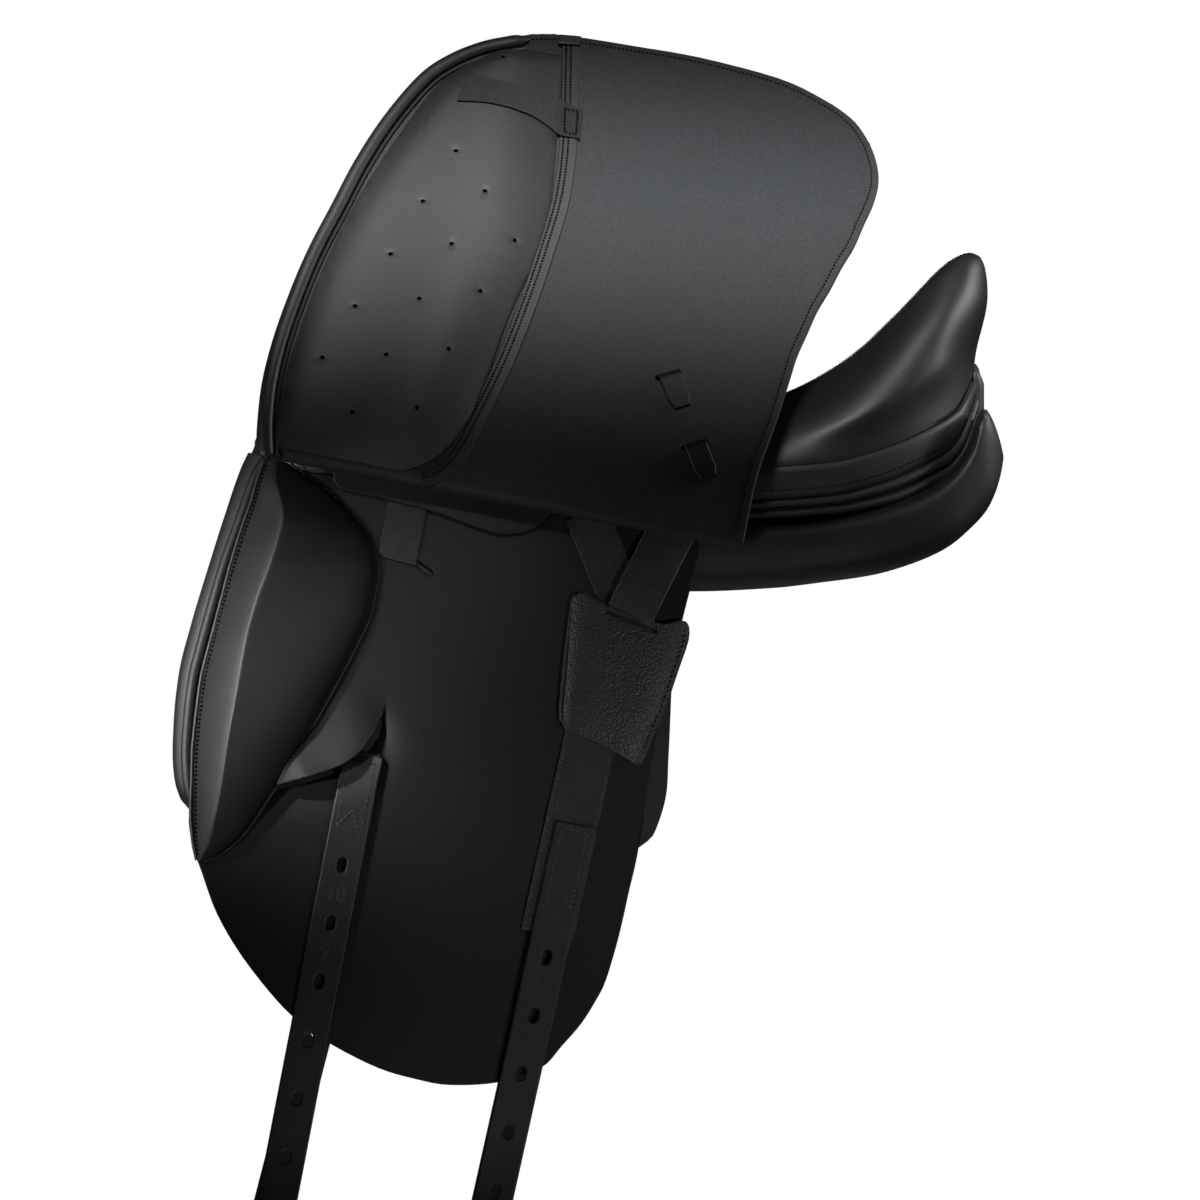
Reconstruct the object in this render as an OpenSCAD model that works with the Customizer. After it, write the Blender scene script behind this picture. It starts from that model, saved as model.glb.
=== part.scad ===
// Dressage saddle built as separate pieces in one frame, in millimetres.
// X runs from pommel to cantle, Y towards the right side of the saddle, Z up.
// The origin lies on the middle plane at the level on which the panels bear.
// Pieces of a pair are drawn for the right side and mirrored for the left.

/* [Seat] */
// length of the seat from pommel to cantle
seat_len = 457; // [435:1:480]
// width of the seat at its widest
seat_w = 226; // [214:1:236]
// thickness of the seat leather
cover_t = 3; // [2:0.5:4]
// thickness of the seat foam
foam_t = 11.5; // [9:0.5:13]
// thickness of the webbing below the foam
seat_web_t = 1.5; // [1:0.25:2]
// depth from the seat seam to the underside of the tree
tree_drop = 34; // [31:0.5:37]
// thickness of the steel head plate
plate_t = 4; // [3:0.5:6]
// thickness of the skirts and of the cantle strips
skirt_t = 3; // [2:0.5:4]
// height of the cantle strips
strip_h = 22; // [18:0.5:24]
// height of the welt band below the cantle strips
welt_h = 11.5; // [8:0.5:13]
// how far the top of the cantle leans back beyond its foot
cantle_lean = 9.5; // [6:0.5:12]

/* [Panels] */
// gap between the two panel cushions at the gullet
gullet_w = 58; // [50:1:70]
// thickness of the padded panel flap
panel_t = 18; // [14:0.5:20]
// radius of the roll along the front of the panel flap
roll_r = 11.5; // [9:0.5:12]

/* [Sweat flaps] */
// thickness of the sweat flap leather
sweat_t = 4; // [3:0.25:5]
// outward tilt of the sweat flap
sweat_tilt = 8; // [7:0.25:9]
// height of the knee block at its ridge
block_h = 36; // [28:1:38]
// angle at which the tongue above the front billet stands off
tongue_tilt = 38; // [25:1:45]

/* [Outer flaps] */
// thickness of the outer flap leather
flap_t = 4.5; // [3.5:0.25:5]
// inward lean of the lifted flaps
flap_lean = 30; // [28:0.5:34]
// radius of the rolled fold at the root of the flap
bead_r = 5; // [4.5:0.25:5.5]
// thickness of the lining pad
pad_t = 6; // [4:0.5:7]
// thickness of the thin strips sewn to the flap
trim_t = 2; // [1.5:0.25:2.5]

/* [Girth straps] */
// width of the billets
billet_w = 25.5; // [23:0.5:28]
// thickness of the billets
billet_t = 4.5; // [3.5:0.25:5]
// length of a billet hole
hole_l = 9; // [7:0.25:10]
// width of a billet hole
hole_w = 5.6; // [5:0.1:6.5]
// distance from hole to hole
hole_pitch = 38; // [34:0.5:40]
// number of holes in a billet
hole_n = 10; // [6:1:10]
// width of the girth webs
web_w = 29; // [26:0.5:31]
// thickness of the girth webs
web_t = 2.5; // [2:0.25:3]

/* [Clearances] */
// gap between fixed pieces that lie against each other
gap = 0.3; // [0.2:0.05:0.4]
// gap between a moving piece and its neighbour
run = 0.6; // [0.4:0.05:0.8]

/* [Hidden] */

LEATHER = [0.09, 0.09, 0.1];
LINING = [0.16, 0.16, 0.17];
WEB = [0.2, 0.2, 0.2];
STEEL = [0.6, 0.6, 0.62];
FOAM = [0.75, 0.7, 0.55];
WOOD = [0.6, 0.45, 0.3];

// general shapes

function total(l, i = 0) = i == len(l) ? [0, 0, 0] : l[i] + total(l, i + 1);

// point on a smooth curve between b and c
function bend(a, b, c, d, t) = 0.5 * (2 * b + (c - a) * t + (2 * a - 5 * b + 4 * c - d) * t * t
    + (3 * b - a - 3 * c + d) * t * t * t);

// smooth open curve through points, s steps between neighbours
function curve(p, s) = let(n = len(p)) concat([for (i = [0:n - 2]) for (k = [0:s - 1])
    bend(p[max(i - 1, 0)], p[i], p[i + 1], p[min(i + 2, n - 1)], k / s)], [p[n - 1]]);

// closed solid through rings of equal count, each end closed from its middle
module loft(rings) {
    m = len(rings);
    n = len(rings[0]);
    pts = concat([for (r = rings) for (p = r) p], [total(rings[0]) / n, total(rings[m - 1]) / n]);
    polyhedron(pts, concat(
        [for (i = [0:m - 2]) for (j = [0:n - 1]) [i * n + j, i * n + (j + 1) % n, (i + 1) * n + j]],
        [for (i = [0:m - 2]) for (j = [0:n - 1])
            [i * n + (j + 1) % n, (i + 1) * n + (j + 1) % n, (i + 1) * n + j]],
        [for (j = [0:n - 1]) [m * n, (j + 1) % n, j]],
        [for (j = [0:n - 1]) [m * n + 1, (m - 1) * n + j, (m - 1) * n + (j + 1) % n]]));
}

// solid between an upper and a lower grid of points, kept where mask is true
module layer(top, low, mask) {
    m = len(top);
    n = len(top[0]);
    o = m * n;
    pts = concat([for (r = top) for (p = r) p], [for (r = low) for (p = r) p]);
    cells = [for (i = [0:m - 2]) for (j = [0:n - 2]) if (mask[i][j]) [i, j]];
    walls = [for (c = cells) let(i = c[0], j = c[1], a = i * n + j, b = a + 1, d = a + n, e = d + 1)
        each concat(
            i == 0 || !mask[i - 1][j] ? [[a, b]] : [],
            i == m - 2 || !mask[i + 1][j] ? [[e, d]] : [],
            j == 0 || !mask[i][j - 1] ? [[d, a]] : [],
            j == n - 2 || !mask[i][j + 1] ? [[b, e]] : [])];
    polyhedron(pts, concat(
        [for (c = cells) let(a = c[0] * n + c[1]) [a, a + 1, a + n]],
        [for (c = cells) let(a = c[0] * n + c[1]) [a + 1, a + n + 1, a + n]],
        [for (c = cells) let(a = o + c[0] * n + c[1]) [a, a + n, a + 1]],
        [for (c = cells) let(a = o + c[0] * n + c[1]) [a + 1, a + n, a + n + 1]],
        [for (w = walls) [w[1], w[0], w[0] + o]],
        [for (w = walls) [w[1], w[0] + o, w[1] + o]]));
}

function whole(m, n) = [for (i = [0:m - 2]) [for (j = [0:n - 2]) true]];

// outline of a bent strap of thickness t along points, in the plane across its width
function unit(v) = v / norm(v);
function normal(p, i) = let(n = len(p), a = unit(p[min(i + 1, n - 1)] - p[min(i, n - 2)]),
    b = unit(p[max(i, 1)] - p[max(i - 1, 0)]), s = a + b, k = 2 / (s * s)) [-s[1], s[0]] * k;
function ribbon(p, t) = concat([for (i = [0:len(p) - 1]) p[i] + normal(p, i) * t / 2],
    [for (i = [len(p) - 1:-1:0]) p[i] - normal(p, i) * t / 2]);

// leather sheet from depth a to depth b with an outline in the plane of the side
module sheet(a, b) translate([0, b, 0]) rotate([90, 0, 0]) linear_extrude(b - a) children();

// strap with a bent run, w wide, drawn from the run's points of depth and height
module strap(w, p, t) translate([-w / 2, 0, 0]) rotate([90, 0, 90]) linear_extrude(w)
    polygon(ribbon(p, t));

module pair(side) if (side < 0) mirror([0, 1, 0]) children(); else children();

// seat surface

kx = seat_len / 457;
kw = seat_w / 226;
x_mid = 28 * kx;

SEAT_X = [-200, -196, -188, -170, -145, -120, -90, -55, -15, 25, 65, 105, 135, 160, 182, 200, 216,
    229, 239, 247, 253, 256];
SEAT_V = [-1, -0.93, -0.8, -0.62, -0.36, 0, 0.36, 0.62, 0.8, 0.93, 1];
HALF = [[-200, 26], [-196, 38], [-188, 50], [-170, 62], [-110, 74], [-40, 90], [40, 108], [105, 113]];
SEAM = [[-200, 120], [-110, 98], [-40, 90], [40, 86], [105, 88], [150, 91], [183, 99], [216, 113],
    [239, 127], [250, 145], [257, 159]];
RIDGE = [[-200, 150], [-196, 160], [-188, 169], [-170, 172], [-145, 164], [-120, 152], [-90, 138],
    [-40, 122], [10, 115], [60, 121], [128, 144], [154, 155], [178, 170], [198, 188], [215, 207],
    [229, 224], [239, 234], [247, 239], [253, 234], [257, 205]];
DISH = [[-100, 0], [0, 5], [120, 9], [200, 8], [240, 3], [257, 0]];

function half(x) = let(a = x / kx) kw * (a < 105 ? lookup(a, HALF)
    : 113 * sqrt(max(1 - pow((a - 105) / 152, 2), 0.003)));
function seam(x) = lookup(x / kx, SEAM);
function ridge(x) = lookup(x / kx, RIDGE);
function dish(x, v) = lookup(x / kx, DISH) * pow(max(1 - pow(v / 0.6, 2), 0), 2);
function seat_z(x, v) = ridge(x) - dish(x, v) - (ridge(x) - seam(x)) * pow(abs(v), 3.5);

// share of the half width left at depth t below the seat surface
function inset(t) = 1 - t / (113 * kw);
function draw_in(x, t) = x - t * (x - x_mid) / (228 * kx);
// the top of the cantle leans back beyond its foot
function ease(k) = let(c = min(max(k, 0), 1)) c * c * (3 - 2 * c);
function lean(x, z) = cantle_lean * ease((x / kx - 185) / 65) * ease((z - 158) / 52);
function seat_at(x, v, t) = let(a = draw_in(x, t), z = min(seat_z(x, v), seat_z(a, v)) - t)
    [a + lean(a, z), v * half(x) * inset(t), z];
function seat_grid(t) = [for (a = SEAT_X) [for (v = SEAT_V) seat_at(a * kx, v, t)]];

foam_a = cover_t + gap;
foam_b = foam_a + foam_t;
sweb_a = foam_b + gap;
sweb_b = sweb_a + seat_web_t;
tree_a = sweb_b + gap;

// underside of the tree, arched over the withers at the front
ARCH = [[-200, 30], [-120, 30], [-55, 0], [257, 0]];
function tree_low(x, v) = seam(x) - tree_drop + lookup(x / kx, ARCH) * (1 - v * v);
function drawn_from(x, t) = (x - t * x_mid / (228 * kx)) / (1 - t / (228 * kx));
function tree_side(x) = half(drawn_from(x, tree_a)) * inset(tree_a);
function low_at(x, v, d) = [draw_in(x, tree_a), v * half(x) * inset(tree_a), tree_low(x, v) - d];

module seat_cover() color(LEATHER) layer(seat_grid(0), seat_grid(cover_t), whole(22, 11));

module seat_foam() color(FOAM) layer(seat_grid(foam_a), seat_grid(foam_b), whole(22, 11));

// two runs of webbing from front to back and two across
module seat_webbing() color(WEB) layer(seat_grid(sweb_a), seat_grid(sweb_b),
    [for (i = [0:20]) [for (j = [0:9]) i >= 4 && i <= 15
        && (j == 4 || j == 5 || ((i == 6 || i == 9 || i == 13) && j >= 2 && j <= 7))]]);

// rails joined by the head in front and the cantle behind, open in the middle
module tree() color(WOOD) layer(seat_grid(tree_a),
    [for (a = SEAT_X) [for (v = SEAT_V) low_at(a * kx, v, 0)]],
    [for (i = [0:20]) [for (j = [0:9]) !(i >= 5 && i <= 12 && j >= 4 && j <= 5)]]);

module head_plate() color(STEEL) layer(
    [for (i = [2:5]) [for (v = SEAT_V) low_at(SEAT_X[i] * kx, v, gap)]],
    [for (i = [2:5]) [for (v = SEAT_V) low_at(SEAT_X[i] * kx, v, gap + plate_t)]], whole(4, 11));

// place of the side leather: u along the fold, n outward, w up
side_x = -63.4;
side_y = 140 + (seat_w - 226) / 2;
side_z = 64;
side_slope = 8.34;
module side_frame() translate([side_x, side_y, side_z]) rotate([0, side_slope, 0])
    rotate([sweat_tilt, 0, 0]) children();

// hinge line of the outer flap
fold_y = side_y + 58;
fold_slope = 11;
function fold_z(x) = side_z - (x - side_x) * tan(fold_slope);

// fixed root of the outer flap, from the tree to the fold, with a slight crown
root_a = bead_r + run;
root_bow = 2.5;
ROOT_X = [-212, -198, -176, -148, -120, -88, -52, -10, 34, 84];
function root_in(x) = tree_side(x) + 2 * gap;
function root_z(x, y) = let(a = root_in(x),
    z0 = seam(drawn_from(x, tree_a)) - tree_drop + flap_t / 2 + 2 * gap, k = (y - a) / (fold_y - a))
    z0 + (fold_z(x) - z0) * k + 4 * root_bow * k * (1 - k);
function root_pt(i, k, d) = let(p = draw_in(SEAT_X[i + 1] * kx, tree_a), a = root_in(p),
    y = a + (fold_y - root_a - a) * k, x = p + (ROOT_X[i] * kx - p) * k) [x, y, root_z(x, y) + d];
module flap_root() color(LEATHER) loft([for (i = [0:9]) let(h = flap_t / 2)
    [for (q = [[0, -h], [0.4, -h], [0.75, -h], [1, -h], [1, h], [0.75, h], [0.4, h], [0, h]])
        root_pt(i, q[0], q[1])]]);

// skirt from the seat seam down to the root of the flap
SKIRT_X = [-188, -170, -145, -120, -90, -55, -15, 25, 50, 65];
SKIRT_B = [[-188, 30], [-170, 52], [-145, 72], [-120, 80], [-90, 80], [-55, 74], [-15, 58], [25, 34],
    [50, 14], [65, 4]];
SKIRT_K = [0, 0.12, 0.3, 0.55, 0.8, 1];
function skirt_end(x) = let(y = half(x) + lookup(x / kx, SKIRT_B))
    [y, max(root_z(x, y) + flap_t / 2 + gap + skirt_t + 1, seam(x) - strip_h + skirt_t)];
function skirt_at(x, k, d) = let(e = skirt_end(x), a = [half(x) + 2 * gap, seam(x)],
    b = 4 * k * (1 - k) * min(lookup(x / kx, SKIRT_B) / 7, 10), m = a + (e - a) * k)
    [x, m[0] + b * 0.4 - d * 0.3, m[1] + b - d];
module skirt() color(LEATHER) layer(
    [for (a = SKIRT_X) [for (k = SKIRT_K) skirt_at(a * kx, k, 0)]],
    [for (a = SKIRT_X) [for (k = SKIRT_K) skirt_at(a * kx, k, skirt_t)]], whole(10, 6));

// bands along the side and back of the cantle: run, half width there and outward direction
BAND_X = [68, 85, 105, 135, 160, 182, 200, 216, 229, 239, 247, 252];
function out_dir(x) = let(d = (half(x + 1) - half(x - 1)) / 2) unit([-d, 1]);
function band_at(a, off, z) = let(x = a * kx, n = out_dir(x))
    [x + n[0] * off, half(x) + n[1] * off, z];
function strip_low(a) = let(x = a * kx) seam(x) - strip_h * min(1, pow(max((257 - a), 0) / 25, 0.4));
function welt_low(a) = strip_low(a) - gap - welt_h * (1 + 0.4 * min(max(a - 150, 0) / 50, 1));
function band(xs, a, b, hi, lo) = [for (i = [0:len(xs) - 1]) [band_at(xs[i], a, lo[i]),
    band_at(xs[i], b, lo[i]), band_at(xs[i], b, hi[i]), band_at(xs[i], a, hi[i])]];
module cantle_strips() color(LEATHER) for (s = [-1, 1]) pair(s)
    loft(band(BAND_X, 2 * gap, 2 * gap + skirt_t, [for (a = BAND_X) seam(a * kx) - gap],
        [for (a = BAND_X) strip_low(a)]));

module welt_band() color(LEATHER) for (s = [-1, 1]) pair(s)
    loft(band(BAND_X, 2 * gap, 2 * gap + skirt_t + 1.5, [for (a = BAND_X) strip_low(a) - gap],
        [for (a = BAND_X) welt_low(a)]));

// leather over the back of the cantle between the ends of the bands
module rear_facing() color(LEATHER) loft([for (k = [-1, -0.5, 0, 0.5, 1])
    let(x = (256 - 1.8 * (abs(k) > 0.6 ? 1 : 0)) * kx + 2 * gap, y = 22 * kw * k, t = seam(256 * kx) + 3)
    [[x, y, t], [x, y, 108], [x + skirt_t, y * 1.1, 108], [x + skirt_t, y * 1.1, t]]]);

// panel cushion under the tree
CUSH_X = [-205, -198, -185, -160, -120, -70, -15, 40, 90, 130, 165, 195, 220, 238, 250, 260, 266, 270, 272];
CUSH_LOW = [[-205, 34], [-198, 22], [-185, 14], [-160, 10], [-70, 7], [67, 7], [116, 9], [149, 13],
    [182, 18], [207, 26], [232, 38], [250, 53], [260, 64], [266, 75], [270, 86], [272, 94]];
CUSH_OUT = [[-205, 92], [-198, 104], [-185, 112], [-160, 116], [60, 117.5], [105, 116], [150, 113],
    [200, 103], [232, 92], [250, 82], [260, 75], [266, 68], [270, 61], [272, 55]];
CUSH_IN = [[-205, 20], [-198, 10], [-185, 4], [-160, 1], [150, 0], [220, 0], [250, 4], [260, 7],
    [266, 10], [270, 14], [272, 18]];
CUSH_END = [[250, 102], [260, 122], [266, 118], [270, 108], [272, 100]];
function cush_top(x) = x > 249 * kx ? lookup(x / kx, CUSH_END)
    : min(welt_low(x / kx - 7 * ease((x / kx - 120) / 80)) - gap,
        seam(drawn_from(x, tree_a)) - tree_drop - gap - (x < -60 * kx ? plate_t + gap : gap));
function cush_ring(x) = let(a = x / kx, i = gullet_w / 2 + lookup(a, CUSH_IN),
    o = lookup(a, CUSH_OUT) + (seat_w - 226) / 2, b = lookup(a, CUSH_LOW), t = cush_top(x),
    m = [(i + o) / 2, (b + t) / 2], h = [(o - i) / 2, (t - b) / 2])
    [for (k = [0:13]) let(w = 360 * (k + 0.5) / 14, c = cos(w), s = sin(w))
        [x, m[0] + h[0] * sign(c) * pow(abs(c), 0.55), m[1] + h[1] * sign(s) * pow(abs(s), 0.5)]];
module panel_cushion() color(LINING) loft([for (a = CUSH_X) cush_ring(a * kx)]);

// padded panel flap behind the sweat flap, with a roll along its front
roll_n = -(web_t + 2 * gap + gap + roll_r);
FRONT = [[-220, -176], [-209, -180], [-188, -186], [-170, -189], [-134, -190], [-101, -186],
    [-50, -177], [-12, -167], [8, -161]];
function front_u(w) = lookup(w, FRONT);
ROLL_W = [-222, -216, -200, -170, -134, -101, -50, -16, 0, 8];
module knee_roll() color(LINING) side_frame() loft([for (i = [0:9]) let(w = ROLL_W[i],
    r = roll_r * [0.45, 0.85, 1, 1, 1, 1, 0.95, 0.9, 0.8, 0.5][i])
    [for (k = [0:9]) [front_u(w) + roll_r + r * cos(36 * k), roll_n + r * sin(36 * k), w]]]);

PANEL_W = [-214, -204, -185, -150, -110, -70, -35, -14];
REAR = [[-220, 108], [-213, 118], [-200, 129], [-173, 133], [-150, 131], [-60, 124], [-10, 128]];
panel_n = -(web_t + 3 * gap);
module panel_flap() color(LINING) side_frame() loft([for (w = PANEL_W)
    let(a = front_u(w) + 2 * roll_r + 1, b = lookup(w, REAR), e = w < -210 || w > -20 ? 0.6 : 1,
        t = panel_t * e)
    [for (p = [[0, 0], [0, 0.55], [0.06, 0.85], [0.25, 1], [0.75, 1], [0.94, 0.85], [1, 0.55], [1, 0]])
        [a + (b - a) * p[0], panel_n - t * p[1], w]]]);

// sweat flap with the slot for the point web and the slit with its tongue
SWEAT = [[-161, -6], [-166, -89], [-168, -150], [-168, -210], [-161, -255], [-147, -283], [-115, -321],
    [-79, -345], [-44, -362], [-11, -373], [22, -375], [53, -368], [78, -354], [96, -331], [111, -301],
    [118, -261], [121, -209], [120, -156], [119, -112], [124, -60], [128, -19], [128, -3]];
LIP = [[-57, -156], [-60, -166], [-66, -178], [-76, -188], [-90, -196], [-106, -203], [-117, -209]];
slot_u = -60;
slot_w = -49;
tip_a = LIP[6] - LIP[0];
tip_r = atan2(tip_a[1], tip_a[0]);
module lip_shape() polygon(curve(LIP, 3));
module sweat_flap() color(LEATHER) side_frame() {
    sheet(0, sweat_t) difference() {
        polygon(concat([[-159, 0]], curve(SWEAT, 2)));
        translate([slot_u, slot_w]) square([web_w + 5, 11], center = true);
        offset(delta = 1.2) lip_shape();
    }
    translate([LIP[0][0], 0, LIP[0][1]]) rotate([0, -tip_r, 0]) rotate([-tongue_tilt, 0, 0])
        rotate([0, tip_r, 0]) translate([-LIP[0][0], 0, -LIP[0][1]]) sheet(0, sweat_t) lip_shape();
}

// knee block on the front of the sweat flap, with a ridge along it
BLOCK_W = [-252, -244, -225, -195, -160, -125, -90, -62, -40, -22, -10, 0];
BLOCK_A = [[-256, -158], [-238, -163], [-223, -167], [-195, -169], [-131, -168], [-89, -166], [-52, -162],
    [-21, -157], [-10, -154], [0, -151]];
BLOCK_B = [[-256, -150], [-240, -138], [-223, -124], [-206, -116], [-176, -102], [-142, -90], [-103, -77],
    [-80, -72], [-62, -71], [-45, -74], [-33, -80], [-22, -89], [-10, -104], [0, -119]];
BLOCK_R = [[-256, -152], [-218, -151], [-186, -149], [-145, -149], [-109, -144], [-62, -140], [-36, -135],
    [-10, -136], [0, -138]];
BLOCK_H = [[-256, 0.22], [-244, 0.4], [-225, 0.62], [-195, 0.82], [-150, 0.96], [-110, 1], [-70, 0.97],
    [-45, 0.84], [-22, 0.6], [-10, 0.4], [0, 0.2]];
block_n = sweat_t + gap;
module knee_block() color(LEATHER) side_frame() loft([for (w = BLOCK_W) let(a = lookup(w, BLOCK_A),
    b = lookup(w, BLOCK_B), r = lookup(w, BLOCK_R), h = block_h * lookup(w, BLOCK_H))
    [[a, block_n, w], [a, block_n + h * 0.25, w], [a + (r - a) * 0.45, block_n + h * 0.72, w],
        [r - 1, block_n + h * 0.97, w], [r + 2, block_n + h, w], [r + (b - r) * 0.3, block_n + h * 0.9, w],
        [r + (b - r) * 0.62, block_n + h * 0.67, w], [r + (b - r) * 0.9, block_n + h * 0.34, w],
        [b, block_n + h * 0.1, w], [b, block_n, w]]]);

// webs that carry the billets, from below the root of the flap down over the sweat flap
web_n = sweat_t + gap + web_t / 2;
back_n = -gap - web_t / 2 - 0.1;
top_w = -8;
web_up = top_w + 4;
module point_web() color(WEB) side_frame() translate([slot_u, 0, 0])
    strap(web_w, [[web_n, web_up], [web_n, slot_w + 4.5], [back_n, slot_w - 3.5], [back_n, -178]],
        web_t);

// arms of the V web: the front one goes inside the guard, the rear one over it
arm_n = web_n + web_t + gap;
module front_web() color(WEB) side_frame() translate([55, 0, 0]) rotate([0, -30, 0])
    strap(web_w, [[web_n, web_up - 6.5], [web_n, -52], [arm_n, -66], [arm_n, -90]], web_t);

guard_n = sweat_t + gap;
guard_f = arm_n + web_t / 2 + 2 * gap;
guard_t = 3;
over_n = guard_f + guard_t + gap + web_t / 2;
module rear_web() color(WEB) side_frame() translate([113, 0, 0]) rotate([0, 18, 0])
    strap(web_w - 3, [[web_n, web_up - 1.5], [web_n, top_w - 4], [over_n, -42], [over_n, -78]], web_t);

// leather guard over the meeting of the webs, open above and below
GUARD = [[54, -54], [56, -100], [60, -143], [79, -149], [113, -159], [118, -142], [123, -124], [133, -71],
    [130, -60], [92, -50]];
module billet_guard() color(LEATHER) side_frame() difference() {
    sheet(guard_n, guard_f + guard_t) offset(r = 3, $fn = 12) offset(delta = -3) polygon(GUARD);
    sheet(guard_n - 1, guard_f) polygon([[40, -40], [62, -40], [62, -135], [50, -165], [120, -170],
        [108, -140], [112, -100], [117, -60], [117, -40]]);
}

// pocket for the point of the tree, over the tops of the webs
POCKET = [[-104, -9], [-80, -11], [-44, -15], [-10, -21.5], [3, -22], [18, -18], [28, -11]];
pocket_n = web_n + web_t / 2 + gap;
module point_pocket() color(LEATHER) side_frame() sheet(pocket_n, pocket_n + 3.5)
    polygon(concat([[28, -3], [-104, -3]], curve(POCKET, 2)));

// steel bar for the stirrup leather, open behind
bar_x = -95 * kx;
bar_turn = atan2(tree_side(-60 * kx) - tree_side(-125 * kx), 65 * kx);
bar_tip = atan2(seam(-125 * kx) - seam(-60 * kx), 65 * kx);
module stirrup_bar() color(STEEL) translate([bar_x, tree_side(bar_x) + gap + 0.2, seam(bar_x) - tree_a])
    rotate([0, bar_tip, bar_turn]) translate([0, 0, -5.5]) linear_extrude(6.5)
    polygon([[-36, 0], [30, 0], [30, 4], [-24, 4], [-26, 6], [-26, 11], [-24, 13], [24, 13], [31, 15],
        [33, 19], [28, 21], [-30, 21], [-35, 17]]);

// outer flap: its own frame has u along the fold, v away from it and t towards the underside
module flap_frame(a) translate([side_x, fold_y, side_z]) rotate([0, fold_slope, 0]) rotate([a, 0, 0])
    children();
module flap_at(side) pair(side) flap_frame(flap_lean) children();

FLAP = [[-158, 6], [-167, 49], [-167, 83], [-159, 156], [-143, 232], [-116, 309], [-80, 350], [-42, 368],
    [-10, 373], [71, 376], [126, 371], [160, 360], [188, 338], [204, 300], [200, 259], [179, 182],
    [165, 91], [158, 6]];
EDGE = [[-158, 14], [-162, 49], [-162, 83], [-154, 156], [-138, 232], [-112, 307], [-78, 346], [-50, 360]];
KEEP = [[93, 110], [118, 63]];
trim_a = flap_t / 2 + gap;

module flap(side) color(LEATHER) flap_at(side) {
    sheet(-flap_t / 2, flap_t / 2) difference() {
        polygon(concat([[158, 0], [-158, 0]], curve(FLAP, 2)));
        for (k = KEEP) translate([k[0] - 8.5, k[1] - 1]) square([17, trim_t + 2]);
    }
    rotate([90, 0, 90]) translate([0, 0, -158]) linear_extrude(316) circle(bead_r, $fn = 12);
}

// padded lining in front of the seam strip
PAD_L = [[-149, 12], [-151, 49], [-151, 83], [-143, 150], [-128, 220], [-102, 298], [-72, 338], [-50, 350]];
PAD_R = [[-60, 12], [-44, 30], [-33, 52], [-29, 80], [-22, 130], [-12, 190], [-12, 229], [-17, 289],
    [-25, 350]];
PAD_V = [12, 20, 45, 80, 120, 160, 200, 240, 280, 315, 340, 350];
function by_v(p) = [for (q = p) [q[1], q[0]]];
module flap_pad(side) color(LINING) flap_at(side) loft([for (v = PAD_V) let(a = lookup(v, by_v(PAD_L)),
    b = lookup(v, by_v(PAD_R)), t = pad_t * (v < 13 || v > 349 ? 0.5 : v < 21 ? 0.9 : 1))
    [for (p = [[0, 0], [1, 0], [1, 0.4], [0.95, 0.85], [0.8, 1], [0.5, 1], [0.2, 1], [0.05, 0.85], [0, 0.4]])
        [a + (b - a) * p[0], trim_a + t * p[1], v]]]);

// rolled edge along the front of the flap
module flap_roll(side) color(LEATHER) flap_at(side) loft([for (p = curve(EDGE, 2)) [for (k = [0:7])
    [p[0] + 4.5 * cos(45 * k), trim_a + 3.4 + 3.4 * sin(45 * k), p[1]]]]);

STRIP_L = [[-48, 12], [-36, 28], [-26, 51], [-23, 72], [-16, 130], [-6, 190], [-6, 229], [-11, 289],
    [-22, 362]];
module seam_strip(side) color(LEATHER) flap_at(side) sheet(trim_a, trim_a + trim_t)
    polygon(concat(curve(STRIP_L, 2), [for (i = [8:-1:0]) STRIP_L[i] + [12, i == 0 ? -6 : 0]]));

// elastic strap across the pad
strap_a = trim_a + pad_t + gap;
module elastic_strap(side) color(WEB) flap_at(side) sheet(strap_a, strap_a + trim_t)
    polygon([[-79, 317], [-87, 299], [-60, 301], [-40, 299], [-12, 290], [1, 289], [-4, 322], [-40, 322]]);

// keeper for the stirrup leather: a loop outside with its ends through the flap
module flap_keeper(side) color(LEATHER) flap_at(side) {
    for (k = KEEP) {
        sheet(trim_a, trim_a + trim_t) translate([k[0] - 7.5, k[1] - 23]) square([15, 23 + trim_t]);
        sheet(-trim_a - trim_t, trim_a + trim_t) translate([k[0] - 7.5, k[1]]) square([15, trim_t]);
    }
    sheet(-trim_a - trim_t, -trim_a) polygon([KEEP[0] + [-7.5, trim_t], KEEP[0] + [7.5, trim_t],
        KEEP[1] + [7.5, 0], KEEP[1] + [-7.5, 0]]);
}

// billets: straps with oval holes, swinging about their upper ends
front_p = [-66, -201];
left_turn = 2.2;
right_turn = 6.4;
rear_p = [81, -140];
rear_turn = 4.9;
function oval(c, l, w) = [for (k = [0:15]) let(a = 22.5 * (k + 0.5))
    c + [w / 2 * cos(a), w / 2 * sin(a) + sign(sin(a)) * (l - w) / 2]];
module billet_shape(first) difference() {
    e = first - (hole_n - 1) * hole_pitch - 24;
    r = billet_w / 2;
    polygon(concat([for (k = [0:12]) r * [cos(15 * k), sin(15 * k)]],
        [[-r, e], [-5, e - 14], [5, e - 14], [r, e]]));
    for (i = [0:hole_n - 1]) polygon(oval([0, first - i * hole_pitch], hole_l, hole_w));
}
module front_billet(turn) color(LEATHER) side_frame() translate([front_p[0], 0, front_p[1]])
    rotate([0, turn, 0]) sheet(sweat_t + run, sweat_t + run + billet_t) billet_shape(-50);

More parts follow.
